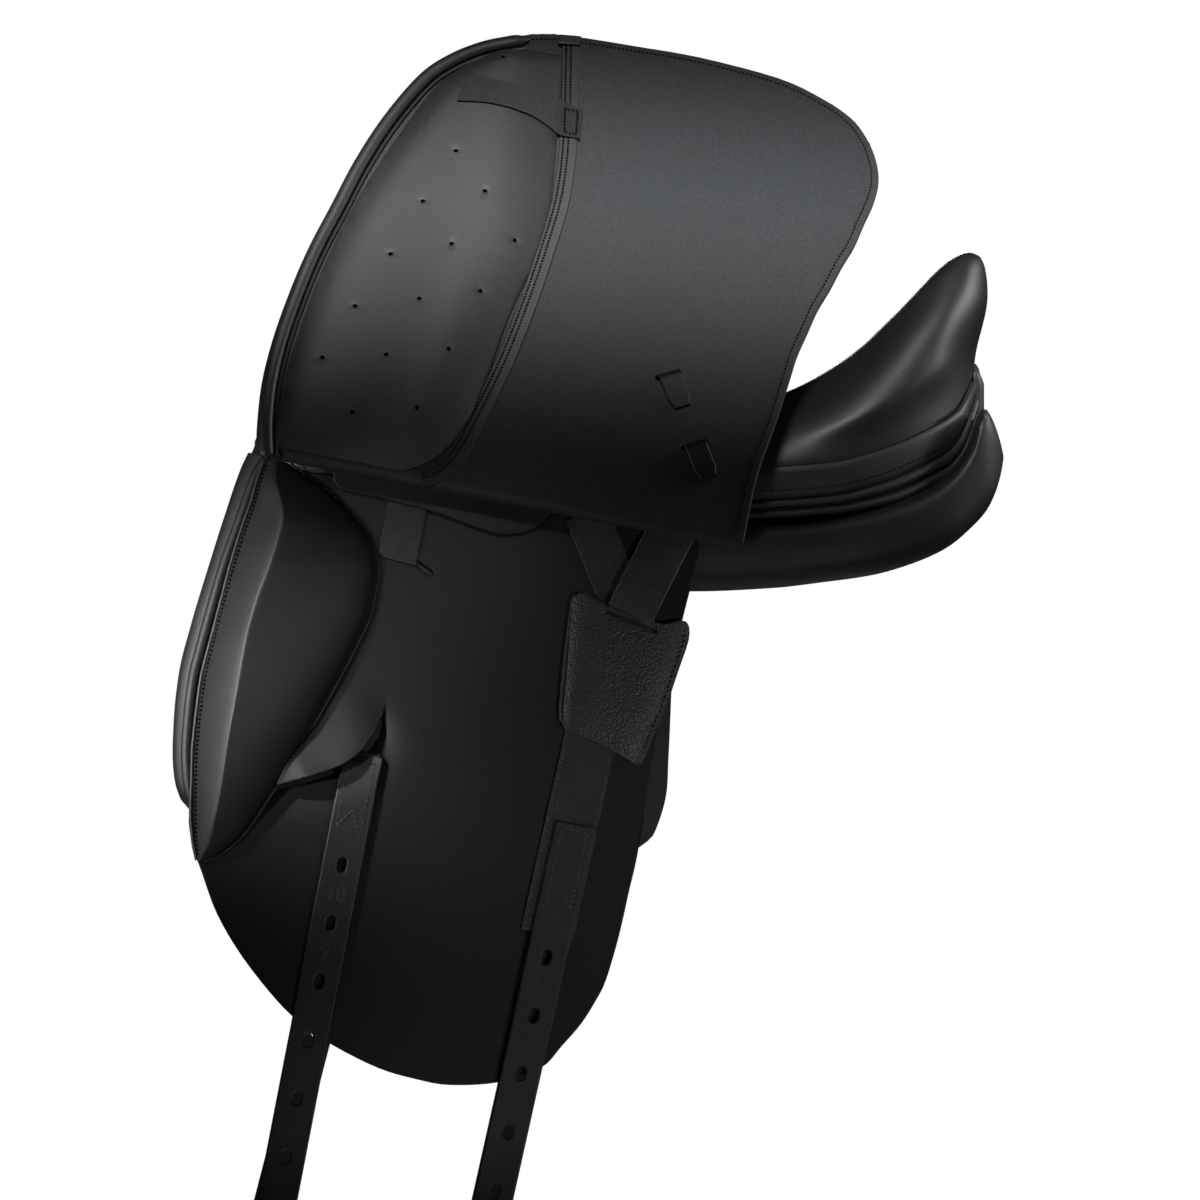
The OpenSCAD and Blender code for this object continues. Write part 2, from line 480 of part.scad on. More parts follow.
lower_n = sweat_t + run;
module lower_web() color(WEB) side_frame() translate([rear_p[0], 0, rear_p[1]]) rotate([0, rear_turn, 0])
    sheet(lower_n, lower_n + web_t) polygon(concat(
        [for (k = [0:12]) web_w / 2 * [cos(15 * k), sin(15 * k)]], [[-web_w / 2, -136], [web_w / 2, -136]]));
module rear_billet() color(LEATHER) side_frame() translate([rear_p[0], 0, rear_p[1]])
    rotate([0, rear_turn, 0]) translate([1.5, 0, -75])
    sheet(lower_n + web_t + gap, lower_n + web_t + gap + billet_t) billet_shape(-76);

module left_skirt() pair(-1) skirt();
module right_skirt() pair(1) skirt();
module left_flap_root() pair(-1) flap_root();
module right_flap_root() pair(1) flap_root();
module left_panel_cushion() pair(-1) panel_cushion();
module right_panel_cushion() pair(1) panel_cushion();
module left_panel_flap() pair(-1) panel_flap();
module right_panel_flap() pair(1) panel_flap();
module left_knee_roll() pair(-1) knee_roll();
module right_knee_roll() pair(1) knee_roll();
module left_sweat_flap() pair(-1) sweat_flap();
module right_sweat_flap() pair(1) sweat_flap();
module left_knee_block() pair(-1) knee_block();
module right_knee_block() pair(1) knee_block();
module left_point_web() pair(-1) point_web();
module right_point_web() pair(1) point_web();
module left_front_web() pair(-1) front_web();
module right_front_web() pair(1) front_web();
module left_rear_web() pair(-1) rear_web();
module right_rear_web() pair(1) rear_web();
module left_point_pocket() pair(-1) point_pocket();
module right_point_pocket() pair(1) point_pocket();
module left_billet_guard() pair(-1) billet_guard();
module right_billet_guard() pair(1) billet_guard();
module left_stirrup_bar() pair(-1) stirrup_bar();
module right_stirrup_bar() pair(1) stirrup_bar();
module left_flap() flap(-1);
module right_flap() flap(1);
module left_flap_pad() flap_pad(-1);
module right_flap_pad() flap_pad(1);
module left_flap_roll() flap_roll(-1);
module right_flap_roll() flap_roll(1);
module left_seam_strip() seam_strip(-1);
module right_seam_strip() seam_strip(1);
module left_elastic_strap() elastic_strap(-1);
module right_elastic_strap() elastic_strap(1);
module left_flap_keeper() flap_keeper(-1);
module right_flap_keeper() flap_keeper(1);
module left_front_billet() pair(-1) front_billet(left_turn);
module right_front_billet() pair(1) front_billet(right_turn);
module left_lower_web() pair(-1) lower_web();
module right_lower_web() pair(1) lower_web();
module left_rear_billet() pair(-1) rear_billet();
module right_rear_billet() pair(1) rear_billet();

tree();
head_plate();
seat_webbing();
seat_foam();
seat_cover();
left_skirt();
right_skirt();
cantle_strips();
welt_band();
rear_facing();
left_flap_root();
right_flap_root();
left_panel_cushion();
right_panel_cushion();
left_panel_flap();
right_panel_flap();
left_knee_roll();
right_knee_roll();
left_sweat_flap();
right_sweat_flap();
left_knee_block();
right_knee_block();
left_point_web();
right_point_web();
left_front_web();
right_front_web();
left_rear_web();
right_rear_web();
left_point_pocket();
right_point_pocket();
left_billet_guard();
right_billet_guard();
left_stirrup_bar();
right_stirrup_bar();
left_flap();
right_flap();
left_flap_pad();
right_flap_pad();
left_flap_roll();
right_flap_roll();
left_seam_strip();
right_seam_strip();
left_elastic_strap();
right_elastic_strap();
left_flap_keeper();
right_flap_keeper();
left_front_billet();
right_front_billet();
left_lower_web();
right_lower_web();
left_rear_billet();
right_rear_billet();
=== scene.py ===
# A black dressage saddle with both flaps lifted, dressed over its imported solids.
# Shapes are worked out in millimetres in the frame of the solids and turned to metres at the end.
import math

import bmesh
import bpy
import numpy as np
from mathutils import Matrix, Vector


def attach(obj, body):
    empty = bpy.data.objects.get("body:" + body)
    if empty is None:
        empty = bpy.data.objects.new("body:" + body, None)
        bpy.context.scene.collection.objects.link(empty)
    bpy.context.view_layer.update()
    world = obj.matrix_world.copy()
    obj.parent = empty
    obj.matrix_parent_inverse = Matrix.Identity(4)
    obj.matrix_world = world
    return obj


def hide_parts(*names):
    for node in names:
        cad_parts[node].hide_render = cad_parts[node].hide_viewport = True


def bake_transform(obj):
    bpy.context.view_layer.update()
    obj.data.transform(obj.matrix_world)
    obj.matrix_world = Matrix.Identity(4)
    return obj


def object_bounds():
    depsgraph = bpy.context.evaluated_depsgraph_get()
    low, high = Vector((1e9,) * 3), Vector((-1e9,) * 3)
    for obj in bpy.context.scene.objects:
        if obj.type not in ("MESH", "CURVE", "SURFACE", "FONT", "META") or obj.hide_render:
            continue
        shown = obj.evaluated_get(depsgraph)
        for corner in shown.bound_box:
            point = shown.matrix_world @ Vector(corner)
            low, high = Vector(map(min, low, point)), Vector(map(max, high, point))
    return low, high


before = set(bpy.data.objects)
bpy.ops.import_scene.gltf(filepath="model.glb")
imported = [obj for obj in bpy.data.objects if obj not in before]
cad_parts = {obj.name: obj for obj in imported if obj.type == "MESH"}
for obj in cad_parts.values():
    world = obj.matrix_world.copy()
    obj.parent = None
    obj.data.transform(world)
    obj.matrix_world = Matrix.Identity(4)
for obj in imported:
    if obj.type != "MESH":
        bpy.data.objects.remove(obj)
cad_low, cad_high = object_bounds()
scene = bpy.context.scene
scene.view_settings.view_transform = "Standard"

# Camera
# It stands level with the panels, three metres out on the left side, and looks straight across.
CAMERA_AWAY = 3.0
FRAME_WIDTH = 0.824
SENSOR = 36.0
camera_data = bpy.data.cameras.new("camera")
camera_data.sensor_width = SENSOR
camera_data.lens = SENSOR * CAMERA_AWAY / FRAME_WIDTH
camera = bpy.data.objects.new("camera", camera_data)
camera.location = (0, -CAMERA_AWAY, 0)
camera.rotation_euler = (math.pi / 2, 0, 0)
scene.collection.objects.link(camera)
scene.camera = camera


# Room
# A pale matt floor under the straps, and a surround that is white to the camera and nearly black to the
# leather, so that the lamps alone draw its sheen.
def linear(code):
    """Linear colour with alpha from an sRGB hex code."""
    parts = [int(code[k:k + 2], 16) / 255 for k in (1, 3, 5)]
    return tuple(c / 12.92 if c <= 0.04045 else ((c + 0.055) / 1.055) ** 2.4 for c in parts) + (1,)


def add_node(tree, kind, settings, links):
    """Adds a node, sets its properties and sockets by name, and links sockets to given outputs."""
    made = tree.nodes.new(kind)
    for name, value in settings.items():
        if name in made.inputs:
            made.inputs[name].default_value = value
        else:
            setattr(made, name, value)
    for name, output in links.items():
        tree.links.new(output, made.inputs[name])
    return made


AMBIENT = 0.008
world = bpy.data.worlds.new("white_studio")
world.use_nodes = True
sky = world.node_tree
sky.nodes.clear()
rays = add_node(sky, "ShaderNodeLightPath", {}, {})
seen = add_node(sky, "ShaderNodeMath", {"operation": "MAXIMUM"},
                {0: rays.outputs["Is Camera Ray"], 1: rays.outputs["Is Transmission Ray"]})
glow = add_node(sky, "ShaderNodeMapRange", {"To Min": AMBIENT, "To Max": 1.0}, {"Value": seen.outputs[0]})
air = add_node(sky, "ShaderNodeBackground", {"Color": (1, 1, 1, 1)}, {"Strength": glow.outputs[0]})
add_node(sky, "ShaderNodeOutputWorld", {}, {"Surface": air.outputs[0]})
scene.world = world

FLOOR_RADIUS = 1.3
FLOOR_GAP = 0.002
FLOOR_SIDES = 96
floor_paint = bpy.data.materials.new("matt_white_paint")
floor_paint.use_nodes = True
paint_shader = floor_paint.node_tree.nodes["Principled BSDF"]
paint_shader.inputs["Base Color"].default_value = linear("#eeeeec")
paint_shader.inputs["Roughness"].default_value = 0.9
floor_mesh = bpy.data.meshes.new("floor")
floor_rim = [(FLOOR_RADIUS * math.cos(a), FLOOR_RADIUS * math.sin(a), cad_low.z - FLOOR_GAP)
             for a in np.linspace(0, 2 * math.pi, FLOOR_SIDES, endpoint=False)]
floor_mesh.from_pydata(floor_rim, [], [range(FLOOR_SIDES)])
floor_mesh.materials.append(floor_paint)
floor = bpy.data.objects.new("floor", floor_mesh)
scene.collection.objects.link(floor)

# Lamps: name, place, point that it faces, width and height in metres, watts, spread of its grid in degrees
LAMPS = (
    ("flap_strip", (-0.3, -1.4, 1.25), (-0.3, -0.093, 0.275), 1.7, 0.1, 2.2, 12),
    ("edge_lamp", (-1.5, -1.5, 0.1), (-0.26, -0.16, -0.03), 0.15, 0.15, 0.16, 8),
    ("left_softbox", (-2.0, -0.5, 0.05), (-0.27, -0.16, -0.02), 0.3, 0.3, 0.12, 12),
    ("knee_lamp", (1.7, -1.65, 0.3), (-0.235, -0.165, -0.11), 0.2, 0.2, 0.014, 6),
    ("sweat_lamp", (-0.1, -2.5, 0.6), (-0.1, -0.15, 0.04), 0.1, 0.1, 0.007, 5),
    ("lip_lamp", (-1.33, -1.17, 1.2), (-0.185, -0.17, -0.085), 0.1, 0.1, 0.05, 5),
    ("rear_softbox", (1.9, 0.2, 0.9), (0.2, 0, 0.1), 0.5, 0.9, 2.6, 60),
    ("low_softbox", (1.0, -2.3, -0.5), (0.01, -0.15, -0.14), 0.3, 0.3, 0.1, 11),
    ("strap_lamp", (0.4, -2.4, -0.9), (-0.13, -0.17, -0.42), 0.2, 0.2, 0.05, 8),
    ("far_softbox", (0.2, 2.6, 0.7), (0.0, 0.15, 0.05), 0.6, 0.6, 1.2, 35),
)
for name, place, target, width, height, watts, spread in LAMPS:
    lamp_data = bpy.data.lights.new(name, "AREA")
    lamp_data.shape = "RECTANGLE"
    lamp_data.size = width
    lamp_data.size_y = height
    lamp_data.energy = watts
    lamp_data.spread = math.radians(spread)
    lamp = bpy.data.objects.new(name, lamp_data)
    lamp.location = place
    lamp.rotation_euler = (Vector(target) - Vector(place)).to_track_quat("-Z", "Y").to_euler()
    scene.collection.objects.link(lamp)


# Tree, head plate, seat webbing and stirrup bars
# Laminated beech sealed with black lacquer, a forged steel arch, woven tapes and steel bars. They keep
# their solids, and only the bars and the underside of the tree can be seen, from below.
MM = 0.001


def vary(tree, shader, place, size_mm, colours, rough):
    """Patches of colour and roughness about size_mm across."""
    patch = add_node(tree, "ShaderNodeTexNoise", {"Scale": 1 / (size_mm * MM), "Detail": 4.0},
                     {"Vector": place})
    ramp = add_node(tree, "ShaderNodeValToRGB", {}, {"Fac": patch.outputs["Fac"]})
    ramp.color_ramp.elements[0].color = linear(colours[0])
    ramp.color_ramp.elements[1].color = linear(colours[1])
    ramp.color_ramp.elements[0].position = 0.3
    ramp.color_ramp.elements[1].position = 0.7
    tree.links.new(ramp.outputs["Color"], shader.inputs["Base Color"])
    spread = add_node(tree, "ShaderNodeMapRange", {"To Min": rough[0], "To Max": rough[1]},
                      {"Value": patch.outputs["Fac"]})
    tree.links.new(spread.outputs[0], shader.inputs["Roughness"])


def surface(name, colour, rough, pattern, grain_mm, depth_mm, patches=(), specular=0.5, grain=(), shine=()):
    """A material dented by a pattern of a size and a depth. Patches are a size, two colours and two
    roughnesses. The last two are further settings of the pattern and of the shader."""
    made = bpy.data.materials.new(name)
    made.use_nodes = True
    tree = made.node_tree
    shader = tree.nodes["Principled BSDF"]
    sockets = {"Base Color": linear(colour), "Roughness": rough, "Specular IOR Level": specular}
    sockets.update(shine)
    for socket, value in sockets.items():
        shader.inputs[socket].default_value = value
    place = add_node(tree, "ShaderNodeTexCoord", {}, {}).outputs["Object"]
    dents = add_node(tree, "ShaderNodeTex" + pattern, {"Scale": 1 / (grain_mm * MM), **dict(grain)},
                     {"Vector": place})
    height = dents.outputs["Distance" if pattern == "Voronoi" else "Fac"]
    bump = add_node(tree, "ShaderNodeBump", {"Strength": 1.0, "Distance": depth_mm * MM}, {"Height": height})
    tree.links.new(bump.outputs["Normal"], shader.inputs["Normal"])
    if patches:
        vary(tree, shader, place, *patches)
    return made


# Beech under black lacquer: the wood shows as long waves below a low gloss.
lacquer = surface("black_lacquered_beech", "#15120f", 0.45, "Wave", 6, 0.1,
                  (30, ("#120f0d", "#1b1713"), (0.4, 0.5)), grain={"Distortion": 3.0})

# Forged steel, left bright: scale from the fire clouds its reflections.
steel = surface("forged_steel", "#a9abae", 0.35, "Noise", 3, 0.05,
                (12, ("#8d8f92", "#b4b6b9"), (0.3, 0.42)), shine={"Metallic": 1.0})

# Woven polyamide: an even grain of yarn with a dull and slightly fuzzy face.
webbing = surface("woven_polyamide_webbing", "#2a2b2e", 0.75, "Voronoi", 1.6, 0.35,
                  (2.2, ("#222326", "#343639"), (0.7, 0.85)), specular=0.35, grain={"Randomness": 0.35},
                  shine={"Sheen Weight": 0.25, "Sheen Roughness": 0.5})

for name, finish in (("tree", lacquer), ("head_plate", steel), ("left_stirrup_bar", steel),
                     ("right_stirrup_bar", steel), ("seat_webbing", webbing)):
    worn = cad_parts[name].data.materials
    worn.clear()
    worn.append(finish)


# Seat
# One piece of soft calf leather drawn over foam and the tree, dished along the middle and rising to a
# deep cantle. It is pulled down to the seam above the skirts and the cantle strips.
SEAT_HALF = ((-200, 26), (-196, 38), (-188, 50), (-170, 62), (-110, 74), (-40, 90), (40, 108), (105, 113))
SEAT_SEAM = ((-200, 120), (-110, 98), (-40, 90), (40, 86), (105, 88), (150, 91), (183, 99), (216, 113),
             (239, 127), (250, 145), (257, 159))
SEAT_RIDGE = ((-200, 150), (-196, 160), (-188, 169), (-170, 172), (-145, 164), (-120, 152), (-90, 138),
              (-40, 122), (10, 115.5), (60, 122.5), (128, 147), (154, 161.5), (178, 179.5), (198, 199.5),
              (212, 216.5), (223.5, 230), (232, 237), (242, 240.7), (250, 237.5), (254, 230.5), (257, 214))
SEAT_DISH = ((-100, 0), (0, 5), (120, 9), (200, 8), (240, 3), (257, 0))
SEAT_LEATHER = 3.0
SEAT_MIDDLE = 28.0
SEAT_REACH = 228.0
SEAT_BACK = SEAT_MIDDLE + SEAT_REACH
SEAT_WIDEST = 105.0
SEAT_WIDE = 113.0
SEAT_OVAL = 152.0
SEAT_FULLNESS = 8.0
CANTLE_LEAN = 9.5


def smooth(table, at):
    """Values at places along a smooth line through a table of (place, value) pairs."""
    place, value = np.array(table, float).T
    at = np.clip(np.asarray(at, float), place[0], place[-1])
    step = np.diff(place)
    slope = np.diff(value) / step
    product = slope[:-1] * slope[1:]
    total = np.where(product > 0, slope[:-1] + slope[1:], 1.0)
    tangent = np.concatenate(([slope[0]], np.where(product > 0, 2 * product / total, 0.0), [slope[-1]]))
    i = np.clip(np.searchsorted(place, at) - 1, 0, len(step) - 1)
    t = (at - place[i]) / step[i]
    return ((2 * t ** 3 - 3 * t ** 2 + 1) * value[i] + (t ** 3 - 2 * t ** 2 + t) * step[i] * tangent[i]
            + (3 * t ** 2 - 2 * t ** 3) * value[i + 1] + (t ** 3 - t ** 2) * step[i] * tangent[i + 1])


def points_at(x, y, z):
    """Points from their three parts, each a number or an array."""
    return np.stack(np.broadcast_arrays(x, y, z), -1)


def seat_half(x):
    """Half the width of the seat, an ellipse behind its widest place."""
    behind = SEAT_WIDE * np.sqrt(np.maximum(1 - ((x - SEAT_WIDEST) / SEAT_OVAL) ** 2, 0.003))
    return np.where(x < SEAT_WIDEST, smooth(SEAT_HALF, x), behind)


def ease(low, high, value):
    """Smooth change from 0 to 1 between low and high."""
    k = np.clip((value - low) / (high - low), 0, 1)
    return k * k * (3 - 2 * k)


def seat_height(x, v):
    """Height of the seat leather at x, and at v from -1 to 1 across."""
    rise = smooth(SEAT_RIDGE, x) - smooth(SEAT_SEAM, x)
    dish = smooth(SEAT_DISH, x) * np.maximum(1 - (v / 0.6) ** 2, 0) ** 2
    return smooth(SEAT_SEAM, x) + rise * np.maximum(1 - np.abs(v) ** 2.8, 0) ** 0.62 - dish


def seat_point(x, v, depth):
    """Points of the seat drawn in by depth below its surface, with its sides fuller towards the back."""
    drawn = x - depth * (x - SEAT_MIDDLE) / SEAT_REACH
    z = np.minimum(seat_height(x, v), seat_height(drawn, v)) - depth
    back = CANTLE_LEAN * ease(185, 250, drawn) * ease(158, 210, z)
    edge = ease(0.55, 0.92, np.abs(v)) * ease(1.0, 0.93, np.abs(v))
    full = SEAT_FULLNESS * edge * ease(120, 190, x) * ease(SEAT_BACK, 225, x)
    y = v * seat_half(x) * (1 - depth / SEAT_WIDE) + np.sign(v) * full
    return points_at(drawn + back, y, z)


def seat_sheet(depth):
    """Grid of points of the seat at a depth, turned down the back of the cantle to the seam."""
    x = SEAT_MIDDLE + SEAT_REACH * np.sin(np.linspace(-math.pi / 2, math.pi / 2, 110))[:, None]
    v = np.sin(np.linspace(-math.pi / 2, math.pi / 2, 71))[None, :]
    rows = seat_point(x, v, depth)
    last = rows[-1:]
    z = last[..., 2] + (smooth(SEAT_SEAM, SEAT_BACK) - depth - last[..., 2]) * np.linspace(0, 1, 13)[1:, None]
    back = SEAT_BACK - depth + CANTLE_LEAN * ease(158, 210, z)
    return np.concatenate((rows, points_at(back, last[..., 1], z)))


def sheet_faces(rows, columns, ring=False, start=0):
    """Quads over a grid of points, joined round in the second direction if it is a ring."""
    last = columns if ring else columns - 1
    return [(start + i * columns + j, start + i * columns + (j + 1) % columns,
             start + (i + 1) * columns + (j + 1) % columns, start + (i + 1) * columns + j)
            for i in range(rows - 1) for j in range(last)]


def slab(top, low):
    """Points and faces of the closed solid between two grids of points."""
    rows, columns = top.shape[:2]
    count = rows * columns
    faces = sheet_faces(rows, columns) + sheet_faces(rows, columns, start=count)
    rim = ([(0, j) for j in range(columns)] + [(i, columns - 1) for i in range(1, rows)]
           + [(rows - 1, j) for j in range(columns - 2, -1, -1)] + [(i, 0) for i in range(rows - 2, 0, -1)])
    loop = [i * columns + j for i, j in rim]
    faces += [(a, b, b + count, a + count) for a, b in zip(loop, loop[1:] + loop[:1])]
    return np.concatenate((top.reshape(-1, 3), low.reshape(-1, 3))), faces


def piece(name, shape, material, body, nodes=(), crease=40):
    """A mesh from points in millimetres and faces, smooth up to the crease angle, riding on a body."""
    points, faces = shape
    mesh = bpy.data.meshes.new(name)
    mesh.from_pydata((np.asarray(points) * MM).tolist(), [], faces)
    made = bmesh.new()
    made.from_mesh(mesh)
    bmesh.ops.remove_doubles(made, verts=made.verts, dist=2e-6)
    bmesh.ops.recalc_face_normals(made, faces=made.faces)
    made.to_mesh(mesh)
    made.free()
    mesh.shade_smooth()
    mesh.set_sharp_from_angle(angle=math.radians(crease))
    mesh.materials.append(material)
    thing = bpy.data.objects.new(name, mesh)
    scene.collection.objects.link(thing)
    if body:
        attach(thing, body)
    if nodes:
        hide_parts(*nodes)
    return thing


# Drum-dyed calf leather, lightly waxed: a soft sheen over a grain that is drawn coarser than the real
# half millimetre, so that it shows.
CALF_GRAIN_MM = 1.3
CALF_DEPTH_MM = 0.05
calf = surface("waxed_calf_leather", "#1b1d1f", 0.5, "Voronoi", CALF_GRAIN_MM, CALF_DEPTH_MM,
               (25, ("#191b1d", "#1e2022"), (0.46, 0.55)))

# The same hide on the seat, made darker as painted shade, with a closer sheen.
painted_shade_seat_calf = surface("seat_calf_painted_shade", "#101112", 0.46, "Voronoi", CALF_GRAIN_MM, CALF_DEPTH_MM,
                    (25, ("#0e0f10", "#121314"), (0.43, 0.5)))

# The seat's darker leather is painted shade.
seat = piece("seat", slab(seat_sheet(0.0), seat_sheet(SEAT_LEATHER)), painted_shade_seat_calf, "saddle",
             ("seat_cover", "seat_foam"))


# Skirts
# Small flaps of the same leather that cover the stirrup bars, sewn into the seat seam and rolled softly
# over the root of the outer flap. A row of thread runs along the free edge.
TREE_DEPTH = 16.9
TREE_DROP = 34.0
FLAP_LEATHER = 4.5
FOLD_START = np.array((-63.4, 198.0, 64.0))
FOLD_SLOPE = 11.0
ROOT_BOW = 2.5
GAP = 0.6
SIDES = (("left", -1), ("right", 1))


def before_drawing(x):
    """Place on the seat from which the tree is drawn in to x."""
    return (x - TREE_DEPTH * SEAT_MIDDLE / SEAT_REACH) / (1 - TREE_DEPTH / SEAT_REACH)


def root_inner(x):
    """Distance from the middle plane at which the root of the flap starts, beside the tree."""
    return seat_half(before_drawing(x)) * (1 - TREE_DEPTH / SEAT_WIDE) + GAP


def fold_height(x):
    """Height of the hinge line of the flap."""
    return FOLD_START[2] - (x - FOLD_START[0]) * math.tan(math.radians(FOLD_SLOPE))


def root_height(x, y):
    """Height of the middle of the flap leather between the tree and the fold."""
    inner = root_inner(x)
    k = (y - inner) / (FOLD_START[1] - inner)
    start = smooth(SEAT_SEAM, before_drawing(x)) - TREE_DROP + FLAP_LEATHER / 2 + GAP
    return start + (fold_height(x) - start) * k + 4 * ROOT_BOW * k * (1 - k)


SKIRT_REACH = ((-188, 30), (-170, 52), (-145, 72), (-120, 80), (-90, 80), (-55, 74), (-15, 58), (25, 34),
               (50, 14), (65, 4))
SKIRT_LEATHER = 3.0
STRIP_HEIGHT = 22.0


def skirt_point(x, k, depth):
    """Point of the skirt at x, with k from 0 at the seam to 1 at the free edge."""
    reach = smooth(SKIRT_REACH, x)
    end_y = seat_half(x) + reach
    end_z = np.maximum(root_height(x, end_y) + FLAP_LEATHER / 2 + SKIRT_LEATHER + 1.3,
                       smooth(SEAT_SEAM, x) - STRIP_HEIGHT + SKIRT_LEATHER)
    bulge = 4 * k * (1 - k) * np.minimum(reach / 7, 10)
    start_y = seat_half(x) + GAP
    start_z = smooth(SEAT_SEAM, x)
    return points_at(x, start_y + (end_y - start_y) * k + 0.4 * bulge - 0.3 * depth,
                     start_z + (end_z - start_z) * k + bulge - depth)


def mirrored(points, side):
    """Points of the right side, turned over to the left where side is -1."""
    points = np.array(points, float)
    points[..., 1] *= side
    return points


STITCH_SECTIONS = ((-0.5, 0.3, -0.5), (-0.36, 0.85, 0.1), (0, 1, 0.35), (0.36, 0.85, 0.1), (0.5, 0.3, -0.5))
STITCH_SIDES = 6


def stitch_row(path, outward, pitch=4.0, length=3.0, thick=0.75):
    """Points and faces of a row of stitches along a path, lying on a surface that faces outward."""
    path = np.asarray(path, float)
    along = np.concatenate(([0], np.cumsum(np.linalg.norm(np.diff(path, axis=0), axis=1))))
    count = max(int(along[-1] / pitch), 1)
    middle = (np.arange(count) + 0.5) * along[-1] / count

    def at(values, s):
        return np.stack([np.interp(s, along, values[:, k]) for k in range(3)], 1)

    def unit(values):
        return values / np.linalg.norm(values, axis=1, keepdims=True)

    centre = at(path, middle)
    ahead = unit(at(path, middle + 0.5) - at(path, middle - 0.5))
    out = at(np.broadcast_to(np.asarray(outward, float), path.shape), middle)
    out = unit(out - ahead * np.sum(out * ahead, 1, keepdims=True))
    across = np.cross(ahead, out)
    rings = []
    for place, swell, lift in STITCH_SECTIONS:
        for angle in np.arange(STITCH_SIDES) * 2 * math.pi / STITCH_SIDES:
            rings.append(centre + ahead * place * length + out * (lift + swell * math.sin(angle) / 2) * thick
                         + across * swell * math.cos(angle) / 2 * thick)
    points = np.stack(rings, 1).reshape(-1, 3)
    one = sheet_faces(len(STITCH_SECTIONS), STITCH_SIDES, ring=True)
    one += [tuple(range(STITCH_SIDES)), tuple(range(len(rings) - STITCH_SIDES, len(rings)))]
    return points, [tuple(k * len(rings) + i for i in face) for k in range(count) for face in one]


def join(shapes):
    """Several shapes as one."""
    points = []
    faces = []
    for some, sides in shapes:
        faces += [tuple(len(points) + i for i in side) for side in sides]
        points += list(some)
    return np.array(points), faces


# Bonded polyester thread: black and sunk in the leather, it shows as dark beads. A grey copy draws the
# stitches that lie on top as grey beads, and the billet numbers as a painted highlight along their
# stamped edges.
TWIST_MM = 0.8
TWIST_DEPTH_MM = 0.08
thread = surface("black_polyester_thread", "#040404", 0.75, "Wave", TWIST_MM, TWIST_DEPTH_MM,
                 (1.5, ("#030303", "#060606"), (0.7, 0.8)), specular=0.15)
grey_thread_and_painted_highlight = surface("grey_thread_and_numeral_highlight", "#484a4c", 0.7, "Wave", TWIST_MM, TWIST_DEPTH_MM,
                      (1.5, ("#3e4042", "#525456"), (0.65, 0.8)), specular=0.3)

skirt_x = np.linspace(SKIRT_REACH[0][0], SKIRT_REACH[-1][0], 64)[:, None]
skirt_k = np.linspace(0, 1, 25)[None, :]
skirt_top = skirt_point(skirt_x, skirt_k, 0)
skirt_low = skirt_point(skirt_x, skirt_k, SKIRT_LEATHER)
skirt_row = skirt_point(np.linspace(-182, 40, 90), 0.93, -0.1)
for label, side in SIDES:
    shape = slab(mirrored(skirt_top, side), mirrored(skirt_low, side))
    piece(label + "_skirt_leather", shape, calf, "saddle", (label + "_skirt",))
    row = stitch_row(mirrored(skirt_row, side), (0, side * 0.5, 1))
    piece(label + "_skirt_stitches", row, thread, "saddle")


# Cantle strips, welt and rear facing
# Leather strips that close the seat seam along the back of the seat, over a corded welt between the seat
# and the panel. A narrow leather facing covers their ends on the back of the cantle.
WELT_HEIGHT = 12.0
STRIP_END = 257.0
BAND_START = 68.0
BAND_RUN = 184.0
BAND_GAP = 0.3


def out_of_seat(x):
    """Direction straight out of the side of the seat, seen from above."""
    slope = (seat_half(x + 1) - seat_half(x - 1)) / 2
    size = np.sqrt(1 + slope ** 2)
    return -slope / size, 1 / size


def strip_low(x):
    """Lower edge of the cantle strips, rising to a point at the back."""
    return smooth(SEAT_SEAM, x) - STRIP_HEIGHT * np.minimum(1, (np.maximum(STRIP_END - x, 0) / 25) ** 0.4)


def welt_low(x):
    """Lower edge of the corded welt, which is deeper towards the back."""
    return strip_low(x) - BAND_GAP - WELT_HEIGHT * (1 + 0.4 * np.clip((x - 150) / 50, 0, 1))


def band(x, profile, top, low):
    """Rings of a band along the seat: profile holds (share of the height from below, distance out)."""
    ahead, out = out_of_seat(x)
    return np.stack([points_at(x + ahead * away, seat_half(x) + out * away, low + (top - low) * share)
                     for share, away in profile], 1)


def loft(rings):
    """Points and faces of a closed solid through rings of equal count."""
    rows, columns = rings.shape[:2]
    faces = sheet_faces(rows, columns, ring=True)
    faces += [tuple(range(columns)), tuple(range((rows - 1) * columns, rows * columns))]
    return rings.reshape(-1, 3), faces


band_x = BAND_START + BAND_RUN * np.sin(np.linspace(0, math.pi / 2, 60))
strip_profile = [(0, 0.6), (0, 2.6), (0.06, 3.5), (0.2, 3.8), (0.5, 4.0), (0.8, 3.8), (0.94, 3.4), (1, 2.4),
                 (1, 0.6)]
cord_angle = np.linspace(-math.pi / 2, math.pi / 2, 9)
cord_profile = [(0.5 + 0.5 * math.sin(a), 2.4 + 3.4 * math.cos(a)) for a in cord_angle]
welt_profile = [(0, 0.6)] + [(0.45 * s, d) for s, d in cord_profile] + [
    (0.52 + 0.48 * s, 0.6 + 0.9 * d) for s, d in cord_profile] + [(1, 0.6)]
strip_base = strip_low(band_x)
strip_top = smooth(SEAT_SEAM, band_x) - BAND_GAP
strip_rings = band(band_x, strip_profile, strip_top, strip_base)
welt_rings = band(band_x, welt_profile, strip_base - BAND_GAP, welt_low(band_x))
strip_row = band(band_x, [(0.27, 3.9)], strip_top, strip_base)[:, 0]
row_out = points_at(*out_of_seat(band_x), 0)
strips = [loft(mirrored(strip_rings, side)) for label, side in SIDES]
welts = [loft(mirrored(welt_rings, side)) for label, side in SIDES]
strip_thread = [stitch_row(mirrored(strip_row, side), mirrored(row_out, side)) for label, side in SIDES]
piece("cantle_strip_leather", join(strips), calf, "saddle", ("cantle_strips",))
